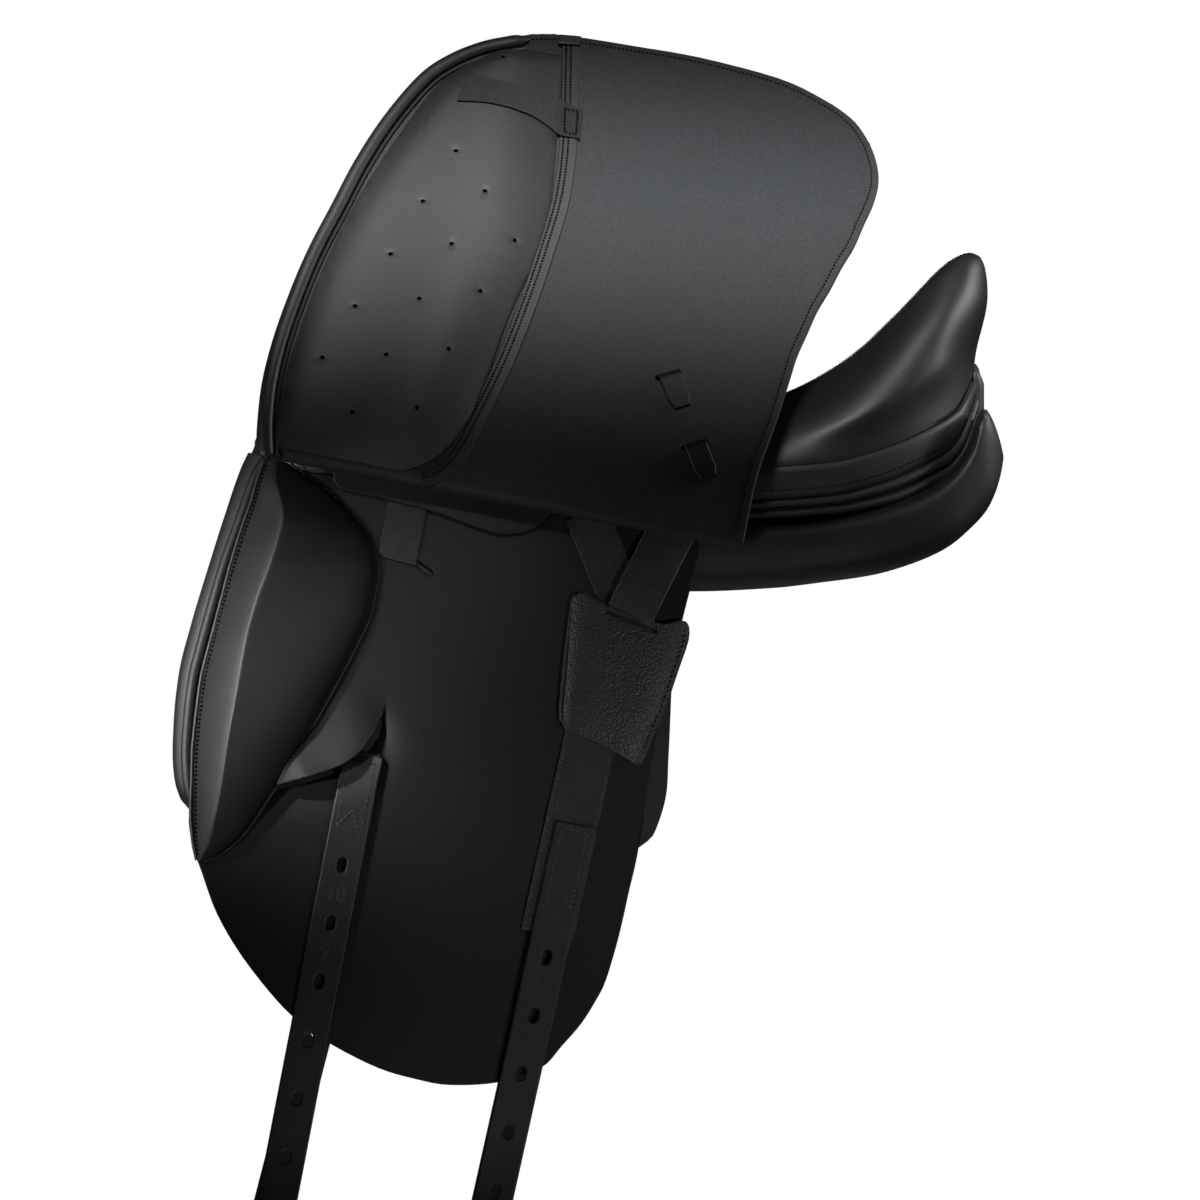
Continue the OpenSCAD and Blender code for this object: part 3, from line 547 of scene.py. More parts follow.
piece("cantle_welt", join(welts), calf, "saddle", ("welt_band",))
piece("cantle_strip_stitches", join(strip_thread), thread, "saddle")

FACING_X = 256.6
FACING_HALF = 22.0
FACING_TOP = 162.0
FACING_LOW = 108.0
k = np.linspace(-1, 1, 25)[:, None]
h = np.linspace(0, 1, 17)[None, :]
facing_y = FACING_HALF * k * (1 + 0.1 * (1 - h))
facing_top = FACING_TOP - 8 * k ** 4
facing_z = FACING_LOW + (facing_top - FACING_LOW) * h
facing_x = FACING_X - 1.8 * k ** 2
edge = np.sqrt(np.clip(1 - np.maximum(np.abs(k), np.abs(2 * h - 1)) ** 8, 0, 1))
facing_thick = 1 + (2.6 + 3 * ease(157, 147, facing_z)) * edge
front = points_at(facing_x, facing_y, facing_z)
back = points_at(facing_x + facing_thick, facing_y, facing_z)
piece("cantle_facing", slab(back, front), calf, "saddle", ("rear_facing",))


# Panel cushions
# Two long pads of soft leather stuffed with wool, one on each side of the gullet. They bear on the back
# and swell out below the welt, fullest at the rear.

# Panel hide drawn over the stuffing: a small round grain and an even, quiet sheen.
panel_leather = surface("soft_panel_leather", "#1a1b1d", 0.5, "Voronoi", 1.5, 0.06,
                        (35, ("#18191b", "#1d1f21"), (0.47, 0.57)))

GULLET_HALF = 29.0
CUSHION_MIDDLE = 33.5
CUSHION_REACH = 238.5
CUSHION_LOW = ((-205, 34), (-198, 22), (-185, 14), (-160, 10), (-70, 7), (67, 6), (116, 8), (149, 11.8),
               (182, 16.5), (207, 23.5), (232, 34.5), (250, 49), (260, 60), (266, 71.5), (270, 84), (272, 94))
CUSHION_OUT = ((-205, 92), (-198, 104), (-185, 112), (-160, 116), (60, 117.5), (105, 116), (150, 113),
               (200, 103), (232, 92), (250, 82), (260, 75), (266, 68), (270, 61), (272, 55))
CUSHION_IN = ((-205, 20), (-198, 10), (-185, 4), (-160, 1), (150, 0), (220, 0), (250, 4), (260, 7), (266, 10),
              (270, 14), (272, 18))
CUSHION_TOP = ((-205, 76), (-198, 80), (-160, 71), (-70, 60), (-15, 55), (40, 52), (90, 54), (130, 56),
               (165, 60), (195, 67), (220, 76), (238, 89), (250, 108), (256, 127.5), (259, 129), (263, 124),
               (266, 117.5), (270, 106), (272, 98))


def cushion_rings(x, side):
    """Rounded sections of a panel cushion at places along the saddle, full up to the welt."""
    inner = GULLET_HALF + smooth(CUSHION_IN, x)
    outer = smooth(CUSHION_OUT, x)
    low = smooth(CUSHION_LOW, x)
    top = smooth(CUSHION_TOP, x)
    turn = np.linspace(0, 2 * math.pi, 48, endpoint=False)[None, :]
    c = np.sign(np.cos(turn)) * np.abs(np.cos(turn)) ** 0.58
    s = np.sign(np.sin(turn)) * np.abs(np.sin(turn)) ** 0.55
    y = (inner + outer)[:, None] / 2 + (outer - inner)[:, None] / 2 * c
    z = (top + low)[:, None] / 2 + (top - low)[:, None] / 2 * s
    return mirrored(points_at(x[:, None], y, z), side)


cushion_x = CUSHION_MIDDLE + CUSHION_REACH * np.sin(np.linspace(-math.pi / 2, math.pi / 2, 90))
for label, side in SIDES:
    cushion = piece(label + "_panel_pad", loft(cushion_rings(cushion_x, side)), panel_leather, "saddle",
                    (label + "_panel_cushion",))


# Panel flaps and front rolls
# The lower part of each panel: a thin padded leather sheet against the ribs, with a stuffed roll along
# its front edge, a thinner roll before the sweat flap and a fine piping along its edge.
SIDE_START = np.array((-63.4, 140.0, 64.0))
SIDE_SLOPE = 8.34
SIDE_TILT = 8.0
side_turn = np.array(Matrix.Rotation(math.radians(SIDE_SLOPE), 3, "Y")
                     @ Matrix.Rotation(math.radians(SIDE_TILT), 3, "X"))


def on_side(points, side):
    """Points given along the fold, outward and up, set in the plane of the side leather."""
    return mirrored(SIDE_START + np.asarray(points, float) @ side_turn.T, side)


def side_facing(direction, side):
    """A direction along, outward and up, turned with the side leather."""
    return np.array(direction, float) @ side_turn.T * (1, side, 1)


def heading(path):
    """Unit direction along a line at each of its points."""
    ahead = np.gradient(path, axis=0)
    return ahead / np.linalg.norm(ahead, axis=1, keepdims=True)


def tube(path, wide, deep, sides=14):
    """Rings round a path of points along, outward and up; wide lies in the sheet and deep across it."""
    ahead = heading(path)
    out = np.array((0.0, 1.0, 0.0)) - ahead * ahead[:, 1:2]
    out /= np.linalg.norm(out, axis=1, keepdims=True)
    across = np.cross(ahead, out)
    turn = np.linspace(0, 2 * math.pi, sides, endpoint=False)
    wide = np.broadcast_to(wide, len(path))[:, None, None]
    deep = np.broadcast_to(deep, len(path))[:, None, None]
    return (path[:, None] + across[:, None] * np.cos(turn)[None, :, None] * wide
            + out[:, None] * np.sin(turn)[None, :, None] * deep)


PANEL_FRONT = ((-228, -171), (-224.9, -176.6), (-211.4, -184), (-197.5, -188.2), (-183.3, -190.5),
               (-154.5, -193.1), (-139.9, -193.4), (-110.2, -190.8), (-65.1, -184.7), (-34.9, -180.2),
               (-4.5, -175), (10.9, -170.8), (24, -168.5))
PANEL_REAR = ((-220, 108), (-213, 118), (-200, 129), (-173, 133), (-150, 131), (-60, 124), (-10, 128))
ROLL_RADIUS = 11.5
ROLL_OUT = -14.9
ROLL_START = -227.0
ROLL_RUN = 246.4
ROLL_LOW = -228.0
ROLL_HIGH = 19.6
PANEL_FACE = -3.4
PANEL_THICK = 18.0
roll_w = ROLL_START + ROLL_RUN * np.sin(np.linspace(0, math.pi / 2, 70))
low_end = ((roll_w - ROLL_LOW) / 14) ** 0.5
high_end = ((ROLL_HIGH - roll_w) / 11) ** 0.5
roll_size = ROLL_RADIUS * np.minimum(1, np.minimum(low_end, high_end))
roll_path = points_at(smooth(PANEL_FRONT, roll_w) + roll_size, ROLL_OUT, roll_w)
SIDE_ROLL = ((-228, -171.2), (-210.4, -176.7), (-184.8, -181.4), (-145.4, -183.6), (-118.6, -181.3),
             (-91.6, -178.3), (-64.4, -174.8), (-43.8, -170.9), (-23.2, -167.2), (-9.4, -164.8), (5, -159.5))
SIDE_ROLL_RADIUS = 4.0
SIDE_ROLL_SHIFT = 1.7
SIDE_ROLL_OUT = -0.6
side_w = np.linspace(ROLL_START, 4, 70)
side_size = SIDE_ROLL_RADIUS * np.minimum(1, ((side_w - ROLL_LOW) / 20) ** 0.5)
side_path = points_at(smooth(SIDE_ROLL, side_w) + SIDE_ROLL_SHIFT, SIDE_ROLL_OUT, side_w)
PIPING = ((-262.2, -160.6), (-248.5, -165.7), (-229.5, -170), (-210.2, -172.4), (-184.3, -175.5),
          (-144.9, -176.8), (-118.1, -174.5), (-91.2, -171.8), (-64.2, -169.1), (-43.7, -166.1),
          (-23.1, -162.4), (-9.5, -160.9), (2, -158.6))
PIPING_RADIUS = 1.35
PIPING_OUT = 3.6
piping_w = np.linspace(-261, 1, 80)
piping_path = points_at(smooth(PIPING, piping_w), PIPING_OUT, piping_w)
panel_w = np.linspace(-214, -14, 50)
across = np.linspace(0, 1, 30)[None, :]
panel_left = smooth(PANEL_FRONT, panel_w)[:, None] + 2 * ROLL_RADIUS + 1
panel_u = panel_left + (smooth(PANEL_REAR, panel_w)[:, None] - panel_left) * across
fullness = ((1 - np.abs(2 * across - 1) ** 6) * (1 - np.abs((panel_w[:, None] + 114) / 100) ** 8)) ** 0.5
panel_outer = points_at(panel_u, PANEL_FACE, panel_w[:, None])
panel_inner = panel_outer - points_at(0, 1 + (PANEL_THICK - 1) * fullness, 0)
for label, side in SIDES:
    pad = piece(label + "_panel_sheet", slab(on_side(panel_outer, side), on_side(panel_inner, side)),
                panel_leather, "saddle", (label + "_panel_flap",))
    roll = piece(label + "_panel_roll", loft(on_side(tube(roll_path, roll_size, roll_size, 20), side)),
                 panel_leather, "saddle", (label + "_knee_roll",))
    rolls = [loft(on_side(tube(side_path, side_size, side_size), side)),
             loft(on_side(tube(piping_path, PIPING_RADIUS, PIPING_RADIUS, 8), side))]
    piece(label + "_panel_piping", join(rolls), calf, "saddle")


# Sweat flaps
# Firm bridle leather cut to one outline, with a slot for the point web and a curved slit. The edge above
# the slit is flared out, so that the front billet comes out from under it.
def curve(points, steps):
    """Smooth open curve through points."""
    p = np.array(points, float)
    p = np.concatenate((p[:1], p, p[-1:]))
    t = np.linspace(0, 1, steps, endpoint=False)[:, None]
    parts = [0.5 * (2 * b + (c - a) * t + (2 * a - 5 * b + 4 * c - d) * t ** 2
                    + (3 * b - a - 3 * c + d) * t ** 3)
             for a, b, c, d in zip(p, p[1:], p[2:], p[3:])]
    return np.concatenate(parts + [p[-1:]])


def right_of(line):
    """Unit direction to the right of a flat line at each of its points."""
    ahead = heading(line)
    return np.stack((ahead[:, 1], -ahead[:, 0]), 1)


SHARP = 1.2


def cut_leather(outlines, thickness, edge, cuts=((), ())):
    """Points and faces of a sheet: the first outline is its rim, the rest are holes. Edges that turn by more
    than SHARP radians are rounded. Cuts are places along and across at which it can bend."""
    made = bmesh.new()
    edges = []
    for outline in outlines:
        ring = [made.verts.new((x, y, 0)) for x, y in outline]
        edges += [made.edges.new(pair) for pair in zip(ring, ring[1:] + ring[:1])]
    bmesh.ops.triangle_fill(made, edges=edges, use_beauty=True, normal=(0, 0, 1))
    for axis, places in enumerate(cuts):
        for at in places:
            spot = Vector((0, 0, 0))
            facing = Vector((0, 0, 0))
            spot[axis] = at
            facing[axis] = 1
            bmesh.ops.bisect_plane(made, geom=made.verts[:] + made.edges[:] + made.faces[:], dist=0.01,
                                   plane_co=spot, plane_no=facing)
    bmesh.ops.recalc_face_normals(made, faces=made.faces)
    if sum(face.normal.z for face in made.faces) < 0:
        bmesh.ops.reverse_faces(made, faces=made.faces)
    bmesh.ops.solidify(made, geom=made.faces[:], thickness=-thickness)
    bmesh.ops.recalc_face_normals(made, faces=made.faces)
    rim = [line for line in made.edges if line.calc_face_angle(0) > SHARP]
    bmesh.ops.bevel(made, geom=rim, offset=edge, segments=2, profile=0.5, affect="EDGES")
    made.verts.index_update()
    points = np.array([vertex.co[:] for vertex in made.verts])
    faces = [tuple(vertex.index for vertex in face.verts) for face in made.faces]
    points[:, 2] -= points[:, 2].min()
    made.free()
    return points, faces


def raised(sheet, out):
    """Points of a cut sheet along, outward and up, with its inner face at a distance out."""
    return points_at(sheet[:, 0], out + sheet[:, 2], sheet[:, 1])


# Vegetable-tanned bridle leather, struck smooth and oiled: almost no grain and a dull sheen.
bridle = surface("oiled_bridle_leather", "#111214", 0.52, "Noise", 1.1, 0.05,
                 (4, ("#0f1012", "#131416"), (0.48, 0.58)), specular=0.3, grain={"Detail": 3.0})

SWEAT_OUTLINE = ((-158, 2), (-160.5, -9.5), (-165.6, -43.7), (-171.2, -91), (-174.5, -122), (-176, -150),
                 (-175, -184), (-172.5, -210), (-170.8, -233), (-169, -242), (-164.9, -253.6), (-157.6, -267),
                 (-143, -293.4), (-122, -319), (-95.4, -343.6), (-76.5, -356.4), (-55.5, -366.3),
                 (-25.5, -376.1), (-1, -379.6), (22, -380.2), (53.4, -373.7), (78.1, -361), (89.4, -345.1),
                 (99.5, -329.4), (106.4, -314.2), (111.4, -299.1), (115.6, -269.9), (117.9, -240.8),
                 (120, -214.3), (121.2, -159), (124, -100), (127, -61.5), (131.5, -19), (132, -8))
SWEAT_LEATHER = 4.0
SLIT = ((-57, -152), (-58, -160), (-61, -168), (-67, -179), (-76, -188), (-90, -196), (-106, -203),
        (-121, -209))
SLIT_WIDTH = 1.0
FLARE = 14.0
FLARE_REACH = 50.0
DIP = 5.0
DIP_REACH = 36.0
SLOT = ((-77.5, -44.5), (-77.5, -47.5), (-49, -50.5), (-46.5, -52.5), (-44, -54.5), (-39, -55.5),
        (-37.5, -53.5), (-40, -51.5), (-48, -47.5))
slit = curve(SLIT, 5)
slit_left = -right_of(slit)
slit_step = np.arange(len(slit))
slit_wide = SLIT_WIDTH * np.minimum(1, np.minimum(slit_step, slit_step[::-1]) / 3 + 0.3)[:, None]
slit_outline = np.concatenate((slit + slit_left * slit_wide, (slit - slit_left * slit_wide)[::-1]))


def from_slit(u, w):
    """Share along the slit, and distance from it, which is positive on the side of the lip."""
    chord = slit[-1] - slit[0]
    share = ((u - slit[0, 0]) * chord[0] + (w - slit[0, 1]) * chord[1]) / (chord @ chord)
    gap_u = u[:, None] - slit[None, :, 0]
    gap_w = w[:, None] - slit[None, :, 1]
    away = np.sqrt(gap_u ** 2 + gap_w ** 2)
    near = np.argmin(away, 1)
    row = np.arange(len(u))
    above = gap_u[row, near] * slit_left[near, 0] + gap_w[row, near] * slit_left[near, 1]
    return share, away[row, near] * np.where(above < 0, 1, -1)


def flare(u, w):
    """How far the sweat flap stands out above its slit, and dips in below it."""
    share, gap = from_slit(u, w)
    above = np.clip(1 - gap / FLARE_REACH, 0, 1) ** 2
    below = np.clip(1 + gap / DIP_REACH, 0, 1) ** 2
    lifted = FLARE * ease(-0.12, 0.46, share) * ease(1.12, 0.68, share) * above
    pressed = DIP * ease(-0.12, 0.1, share) * ease(1.3, 1.0, share) * below
    return np.where(gap > 0, lifted, -pressed)


sweat_outline = np.concatenate((curve(SWEAT_OUTLINE, 4), [(132, -4), (-40, -2)]))
sweat_bends = (np.arange(-170, 132, 10),
               np.concatenate((np.arange(-375, -215, 10), np.arange(-215, -110, 4), np.arange(-108, 0, 10))))
sweat_points, sweat_faces = cut_leather([sweat_outline, SLOT, slit_outline], SWEAT_LEATHER, 0.9, sweat_bends)
sweat_local = raised(sweat_points, flare(sweat_points[:, 0], sweat_points[:, 1]))
for label, side in SIDES:
    piece(label + "_sweat_leather", (on_side(sweat_local, side), sweat_faces), bridle, "saddle",
          (label + "_sweat_flap",), crease=20)


# Knee blocks
# Carved foam under close-stitched leather on the front of each sweat flap. A sharp ridge parts a narrow
# front face from the wide one, and thread shows along both edges.
BLOCK_FRONT = ((-261.6, -160.5), (-248.5, -164.2), (-229.4, -167.9), (-210.2, -170.9), (-184.3, -173.7),
               (-145, -175.3), (-118.2, -173.3), (-91.3, -170.7), (-64.2, -167.7), (-43.8, -164.6),
               (-23.2, -160.9), (-9.6, -159.1), (4, -156))
BLOCK_REAR = ((-261.6, -157.5), (-259.7, -153), (-252, -144), (-240.8, -134.8), (-212.1, -120.9),
              (-174.7, -105.1), (-128.9, -87.9), (-109.5, -81.4), (-83.9, -74.7), (-60.8, -74),
              (-43.7, -78.5), (-31.1, -87.1), (-19.8, -101), (-8.2, -117.3), (-2.3, -130), (4, -142))
BLOCK_RIDGE = ((-261.6, -159), (-247.5, -153.5), (-209.6, -151), (-184, -151), (-158, -150.3),
               (-119.4, -149.5), (-92.7, -146.5), (-65.3, -141.3), (-38, -138.5), (-24, -142), (-10, -148),
               (4, -150))
BLOCK_SWELL = ((-261.6, 0.08), (-248, 0.36), (-228, 0.6), (-195, 0.82), (-150, 0.96), (-110, 1), (-70, 0.97),
               (-45, 0.84), (-22, 0.6), (-8, 0.36), (4, 0.12))
BLOCK_LOW = -261.6
BLOCK_RUN = 265.6
BLOCK_HEIGHT = 36.0
BLOCK_BASE = 4.2
block_w = BLOCK_LOW + BLOCK_RUN * np.linspace(0, 1, 100) ** 1.15
block_shares = [(0, 0), (0, 0.1), (0.05, 0.18), (0.28, 0.42), (0.55, 0.68), (0.8, 0.88), (0.91, 0.955),
                (0.97, 0.985), (1.0, 0.996)]
block_rest = [(0.012, 1.0), (0.035, 0.994), (0.08, 0.975), (0.22, 0.905), (0.42, 0.775), (0.6, 0.63),
              (0.77, 0.465), (0.9, 0.3), (0.97, 0.17), (1, 0.09), (1, 0)]
front_edge = smooth(BLOCK_FRONT, block_w)
rear_edge = smooth(BLOCK_REAR, block_w)
ridge = smooth(BLOCK_RIDGE, block_w)
swell = smooth(BLOCK_SWELL, block_w) * BLOCK_HEIGHT
ring = [(front_edge + (ridge - front_edge) * s, BLOCK_BASE + swell * h) for s, h in block_shares]
ring += [(ridge + (rear_edge - ridge) * s, BLOCK_BASE + swell * h) for s, h in block_rest]
block_rings = np.stack([points_at(u, n, block_w) for u, n in ring], 1)
front_seam = front_edge + 0.05 * (ridge - front_edge) + 0.5
front_thread = points_at(front_seam, BLOCK_BASE + swell * 0.2 + 0.5, block_w)
rear_thread = points_at(rear_edge - 0.04 * (rear_edge - ridge), BLOCK_BASE + swell * 0.18 + 0.3, block_w)
block_welt = points_at(rear_edge + 0.7, BLOCK_BASE + 0.7, block_w)
for label, side in SIDES:
    block = piece(label + "_knee_pad", loft(on_side(block_rings, side)), calf, "saddle",
                  (label + "_knee_block",), crease=34)
    rows = [stitch_row(on_side(front_thread[2:-1], side), side_facing((-0.6, 1, 0), side), 2.8, 1.8, 1.9),
            stitch_row(on_side(rear_thread[2:-1], side), side_facing((0.6, 1, 0), side), 2.8, 1.8, 1.6)]
    piece(label + "_knee_pad_stitches", join(rows), thread, "saddle")
    piece(label + "_knee_pad_welt", loft(on_side(tube(block_welt, 1.2, 1.2, 8), side)), calf, "saddle")


# Point webs, point pockets and the V webs
# Flat polyamide straps that hang from the tree. The front one drops into the slot of the sweat flap under
# a leather pocket, and the two rear arms meet at the guard.
def ribbon(path, width, thick, across=(1.0, 0.0, 0.0)):
    """Rings of a flat strap along a path of points along, outward and up; across is its width direction."""
    across = np.array(across, float)
    face = np.cross(heading(path), across)
    face /= np.linalg.norm(face, axis=1, keepdims=True)
    half = width / 2
    flat = thick / 2
    soft = thick * 0.3
    corner = np.array(((half, flat - soft), (half - soft, flat), (soft - half, flat), (-half, flat - soft),
                       (-half, soft - flat), (soft - half, -flat), (half - soft, -flat), (half, soft - flat)))
    return path[:, None] + across * corner[None, :, 0:1] + face[:, None] * corner[None, :, 1:2]


def turned(points, centre, degrees):
    """Points of the side turned in its plane about a centre along and up."""
    a = math.radians(degrees)
    u, n, w = np.moveaxis(np.asarray(points, float), -1, 0)
    return points_at(centre[0] + u * math.cos(a) + w * math.sin(a), n,
                     centre[1] - u * math.sin(a) + w * math.cos(a))


def hang(knots, steps=6):
    """Smooth strap path through knots of outward and up."""
    line = curve(knots, steps)
    return points_at(0, line[:, 0], line[:, 1])


WEB_WIDTH = 29.0
WEB_THICK = 2.5
WEB_OUT = 5.6
point_path = hang(((WEB_OUT, 3), (WEB_OUT, -20), (WEB_OUT, -38), (4.2, -46), (-1.6, -52), (-1.9, -70),
                   (-1.9, -176)))
front_arm = hang(((WEB_OUT, 0), (WEB_OUT, -40), (7.0, -56), (8.2, -68), (8.2, -92)))
rear_arm = hang(((WEB_OUT, 2), (8, -12), (13.2, -34), (15.0, -50), (14.2, -62), (10.4, -70), (9.4, -80)))
web_shapes = (("_point_web", ribbon(point_path, WEB_WIDTH - 3, WEB_THICK), (-60.5, 0), 2.5),
              ("_front_web", ribbon(front_arm, WEB_WIDTH, WEB_THICK), (55, 0), -30),
              ("_rear_web", ribbon(rear_arm, WEB_WIDTH + 2, WEB_THICK), (113, 0), 18))
POCKET_EDGE = ((-112, -3), (-104, -9), (-80, -11), (-44, -15), (-10, -22), (3, -23), (18, -19), (28, -11),
               (32, -3))
POCKET_OUT = 7.1
pocket_outline = np.concatenate(([(32, 3), (-112, 3)], curve(POCKET_EDGE, 6)))
pocket_points, pocket_faces = cut_leather([pocket_outline], 3.2, 0.9, (np.arange(-108, 32, 8), ()))
pocket_swell = 3.0 * np.exp(-((pocket_points[:, 0] + 30) / 50) ** 2)
pocket_local = raised(pocket_points, POCKET_OUT + pocket_swell)
for label, side in SIDES:
    for ending, rings, centre, degrees in web_shapes:
        piece(label + ending + "_strap", loft(on_side(turned(rings, centre, degrees), side)), webbing,
              "saddle", (label + ending,), crease=25)
    piece(label + "_pocket_leather", (on_side(pocket_local, side), pocket_faces), bridle, "saddle",
          (label + "_point_pocket",), crease=20)


# Billet guards
# Soft pebbled leather draped over the place where the webs meet, with a turned left edge. The rear arm of
# the web goes in through a slit at the top.

# Drum-tumbled hide: plump pebbles that each catch a spot of light.
pebbled = surface("pebbled_leather", "#232527", 0.5, "Voronoi", 1.6, -0.45,
                  (8, ("#202224", "#272a2c"), (0.46, 0.56)),
                  grain={"feature": "SMOOTH_F1", "Smoothness": 0.4})

GUARD_OUTLINE = ((54, -56), (54, -72), (55, -100), (57, -128), (60, -141), (66, -145), (79, -148), (97, -154),
                 (112, -159), (116, -152), (119, -140), (124, -122), (129, -95), (133, -73), (131, -63),
                 (125, -62), (114, -66), (94, -63), (74, -58), (62, -53))
GUARD_BASE = 4.4
GUARD_LEATHER = 2.2
GUARD_SWELL = 7.4
guard_outline = curve(GUARD_OUTLINE + GUARD_OUTLINE[:1], 3)[:-1]
guard_slit = [(77, -62.5), (77.6, -64.4), (94, -68), (111.5, -72.6), (111.6, -70.6), (94.4, -66)]
guard_points, guard_faces = cut_leather([guard_outline, guard_slit], GUARD_LEATHER, 0.8,
                                        (np.arange(56, 133, 4), np.arange(-158, -54, 4)))
guard_left = np.interp(guard_points[:, 1], (-160, -141, -54), (66, 58, 52))
guard_right = np.interp(guard_points[:, 1], (-160, -122, -73, -54), (112, 124, 133, 133))
guard_share = np.clip((guard_points[:, 0] - guard_left) / (guard_right - guard_left), 0, 1)
guard_lift = GUARD_SWELL * np.clip(1 - np.abs(2 * guard_share - 1) ** 4, 0, 1) ** 0.6
guard_lift *= np.interp(guard_points[:, 1], (-160, -130, -50), (0.62, 0.95, 1.0))
guard_local = raised(guard_points, GUARD_BASE + guard_lift)
guard_turn_w = np.linspace(-138, -58, 24)
guard_turn_u = np.interp(guard_turn_w, (-140, -128, -100, -72, -56), (59, 57, 55.4, 54.6, 54.6))
guard_turn = points_at(guard_turn_u, GUARD_BASE + 2.6, guard_turn_w)
guard_thread_w = np.linspace(-148, -66, 30)
guard_thread_u = np.interp(guard_thread_w, (-152, -140, -122, -95, -73, -64),
                           (113, 116, 121, 126, 130, 128.5))
guard_thread = points_at(guard_thread_u, GUARD_BASE + 5.6, guard_thread_w)
for label, side in SIDES:
    piece(label + "_guard_leather", (on_side(guard_local, side), guard_faces), pebbled, "saddle",
          (label + "_billet_guard",), crease=30)
    piece(label + "_guard_turned_edge", loft(on_side(tube(guard_turn, 1.5, 2.4, 10), side)), pebbled,
          "saddle")
    row = stitch_row(on_side(guard_thread, side), side_facing((0.7, 1, 0), side), 3.4, 2.6, 0.8)
    piece(label + "_guard_stitches", row, thread, "saddle")


# Outer flaps
# One sheet of thick bridle leather from the tree to the bottom edge, bent at the fold so that the flap can
# be lifted. Its flesh side, seen here, is waxed and mottled, with thread round the edge.
BEND = 9.0
FLAP_LEAN = 30.0
flap_turn = np.array(Matrix.Rotation(math.radians(FOLD_SLOPE), 3, "Y")
                     @ Matrix.Rotation(math.radians(FLAP_LEAN), 3, "X"))
FLAP_RISE = 376.0
FOLD_FRONT = -218.5
FOLD_RUN = 310.2
ROOT_FRONT = -179.0
ROOT_RUN = 241.0
ROOT_WIDE = 100.0


def flap_plane(u, v, out):
    """Points of the lifted flap: u along the fold, v away from it, out towards the underside."""
    k = np.clip(v / FLAP_RISE, 0, 1)
    bow = (3 + 9 * ease(-60, 60, u)) * 4 * k * (1 - k)
    return FOLD_START + points_at(u, out + bow, v) @ flap_turn.T


def root_plane(u, v):
    """Points of the root, with v from 0 at the fold to -ROOT_WIDE beside the tree."""
    k = 1 + v / ROOT_WIDE
    outer_x = FOLD_START[0] + u * math.cos(math.radians(FOLD_SLOPE))
    inner_x = ROOT_FRONT + (outer_x - FOLD_FRONT) * ROOT_RUN / FOLD_RUN
    x = inner_x + (outer_x - inner_x) * k
    y = root_inner(inner_x) + (FOLD_START[1] - root_inner(inner_x)) * k
    return points_at(x, y, root_height(x, y))


def flap_surface(u, v):
    """Middle of the flap leather from the tree over the fold to the free edge."""
    flat = np.ones_like(u)
    start = root_plane(u, -BEND * flat)
    end = flap_plane(u, BEND * flat, 0 * u)
    fold = flap_plane(u, 0 * u, 0 * u) + (0, 3.5, -2.0)
    k = np.clip((v + BEND) / (2 * BEND), 0, 1)[..., None]
    bent = start * (1 - k) ** 2 + 2 * fold * k * (1 - k) + end * k ** 2
    return np.where((v >= BEND)[..., None], flap_plane(u, v, 0 * u),
                    np.where((v <= -BEND)[..., None], root_plane(u, v), bent))


def flap_leather_point(u, v, out):
    """Point of the flap leather at a distance from its middle."""
    run = flap_surface(u + 0.2, v) - flap_surface(u - 0.2, v)
    rise = flap_surface(u, v + 0.2) - flap_surface(u, v - 0.2)
    normal = np.cross(rise, run)
    normal /= np.linalg.norm(normal, axis=-1, keepdims=True)
    return flap_surface(u, v) + normal * np.asarray(out)[..., None]


# Flesh side of bridle leather, waxed: matt, with a cloudy nap.
flesh = surface("waxed_flesh_side_leather", "#222426", 0.62, "Noise", 1.6, 0.22,
                (2.4, ("#1b1d1f", "#2a2d30"), (0.56, 0.7)), specular=0.35,
                grain={"Detail": 5.0, "Roughness": 0.65})

FLAP_OUTLINE = ((158, -20), (158, -100), (-158, -100), (-158, -20), (-158, -8), (-160, 4), (-163, 15),
                (-167, 49), (-167, 83), (-164, 119), (-159, 156), (-151, 194), (-143, 232), (-131, 272),
                (-114, 313), (-97, 336), (-78, 351), (-62, 360), (-42, 369), (-19, 373), (29, 375), (71, 376),
                (126, 371), (158, 360), (180, 347), (193, 331), (201, 314), (205, 296), (204, 278),
                (200, 259), (196, 239), (190, 220), (185, 201), (179, 182), (175, 163), (171, 144),
                (169, 126), (165, 91), (159, 50), (158, 8), (158, -8))
KEEPERS = ((90.5, 110), (115.5, 63))
KEEPER_TURN = math.radians(31)
flap_outline = np.concatenate((np.array(FLAP_OUTLINE[:4], float), curve(FLAP_OUTLINE[4:], 4)))
keeper_slits = [[(u + a * math.cos(KEEPER_TURN) - b * math.sin(KEEPER_TURN),
                  v + a * math.sin(KEEPER_TURN) + b * math.cos(KEEPER_TURN))
                 for a, b in ((-8.6, -0.6), (8.6, -0.6), (8.6, 2.4), (-8.6, 2.4))] for u, v in KEEPERS]
flap_bends = (np.arange(-150, 205, 15),
              np.concatenate((np.arange(-92, -20, 12), np.arange(-14, 16, 2), np.arange(24, 376, 16))))
flap_points, flap_faces = cut_leather([flap_outline] + keeper_slits, FLAP_LEATHER, 1.0, flap_bends)
flap_local = flap_leather_point(flap_points[:, 0], flap_points[:, 1], flap_points[:, 2] - FLAP_LEATHER / 2)
flap_edge = curve(FLAP_OUTLINE[13:40], 8)
flap_thread = flap_edge + right_of(flap_edge) * 5.0
flap_row = flap_plane(flap_thread[:, 0], flap_thread[:, 1], FLAP_LEATHER / 2)
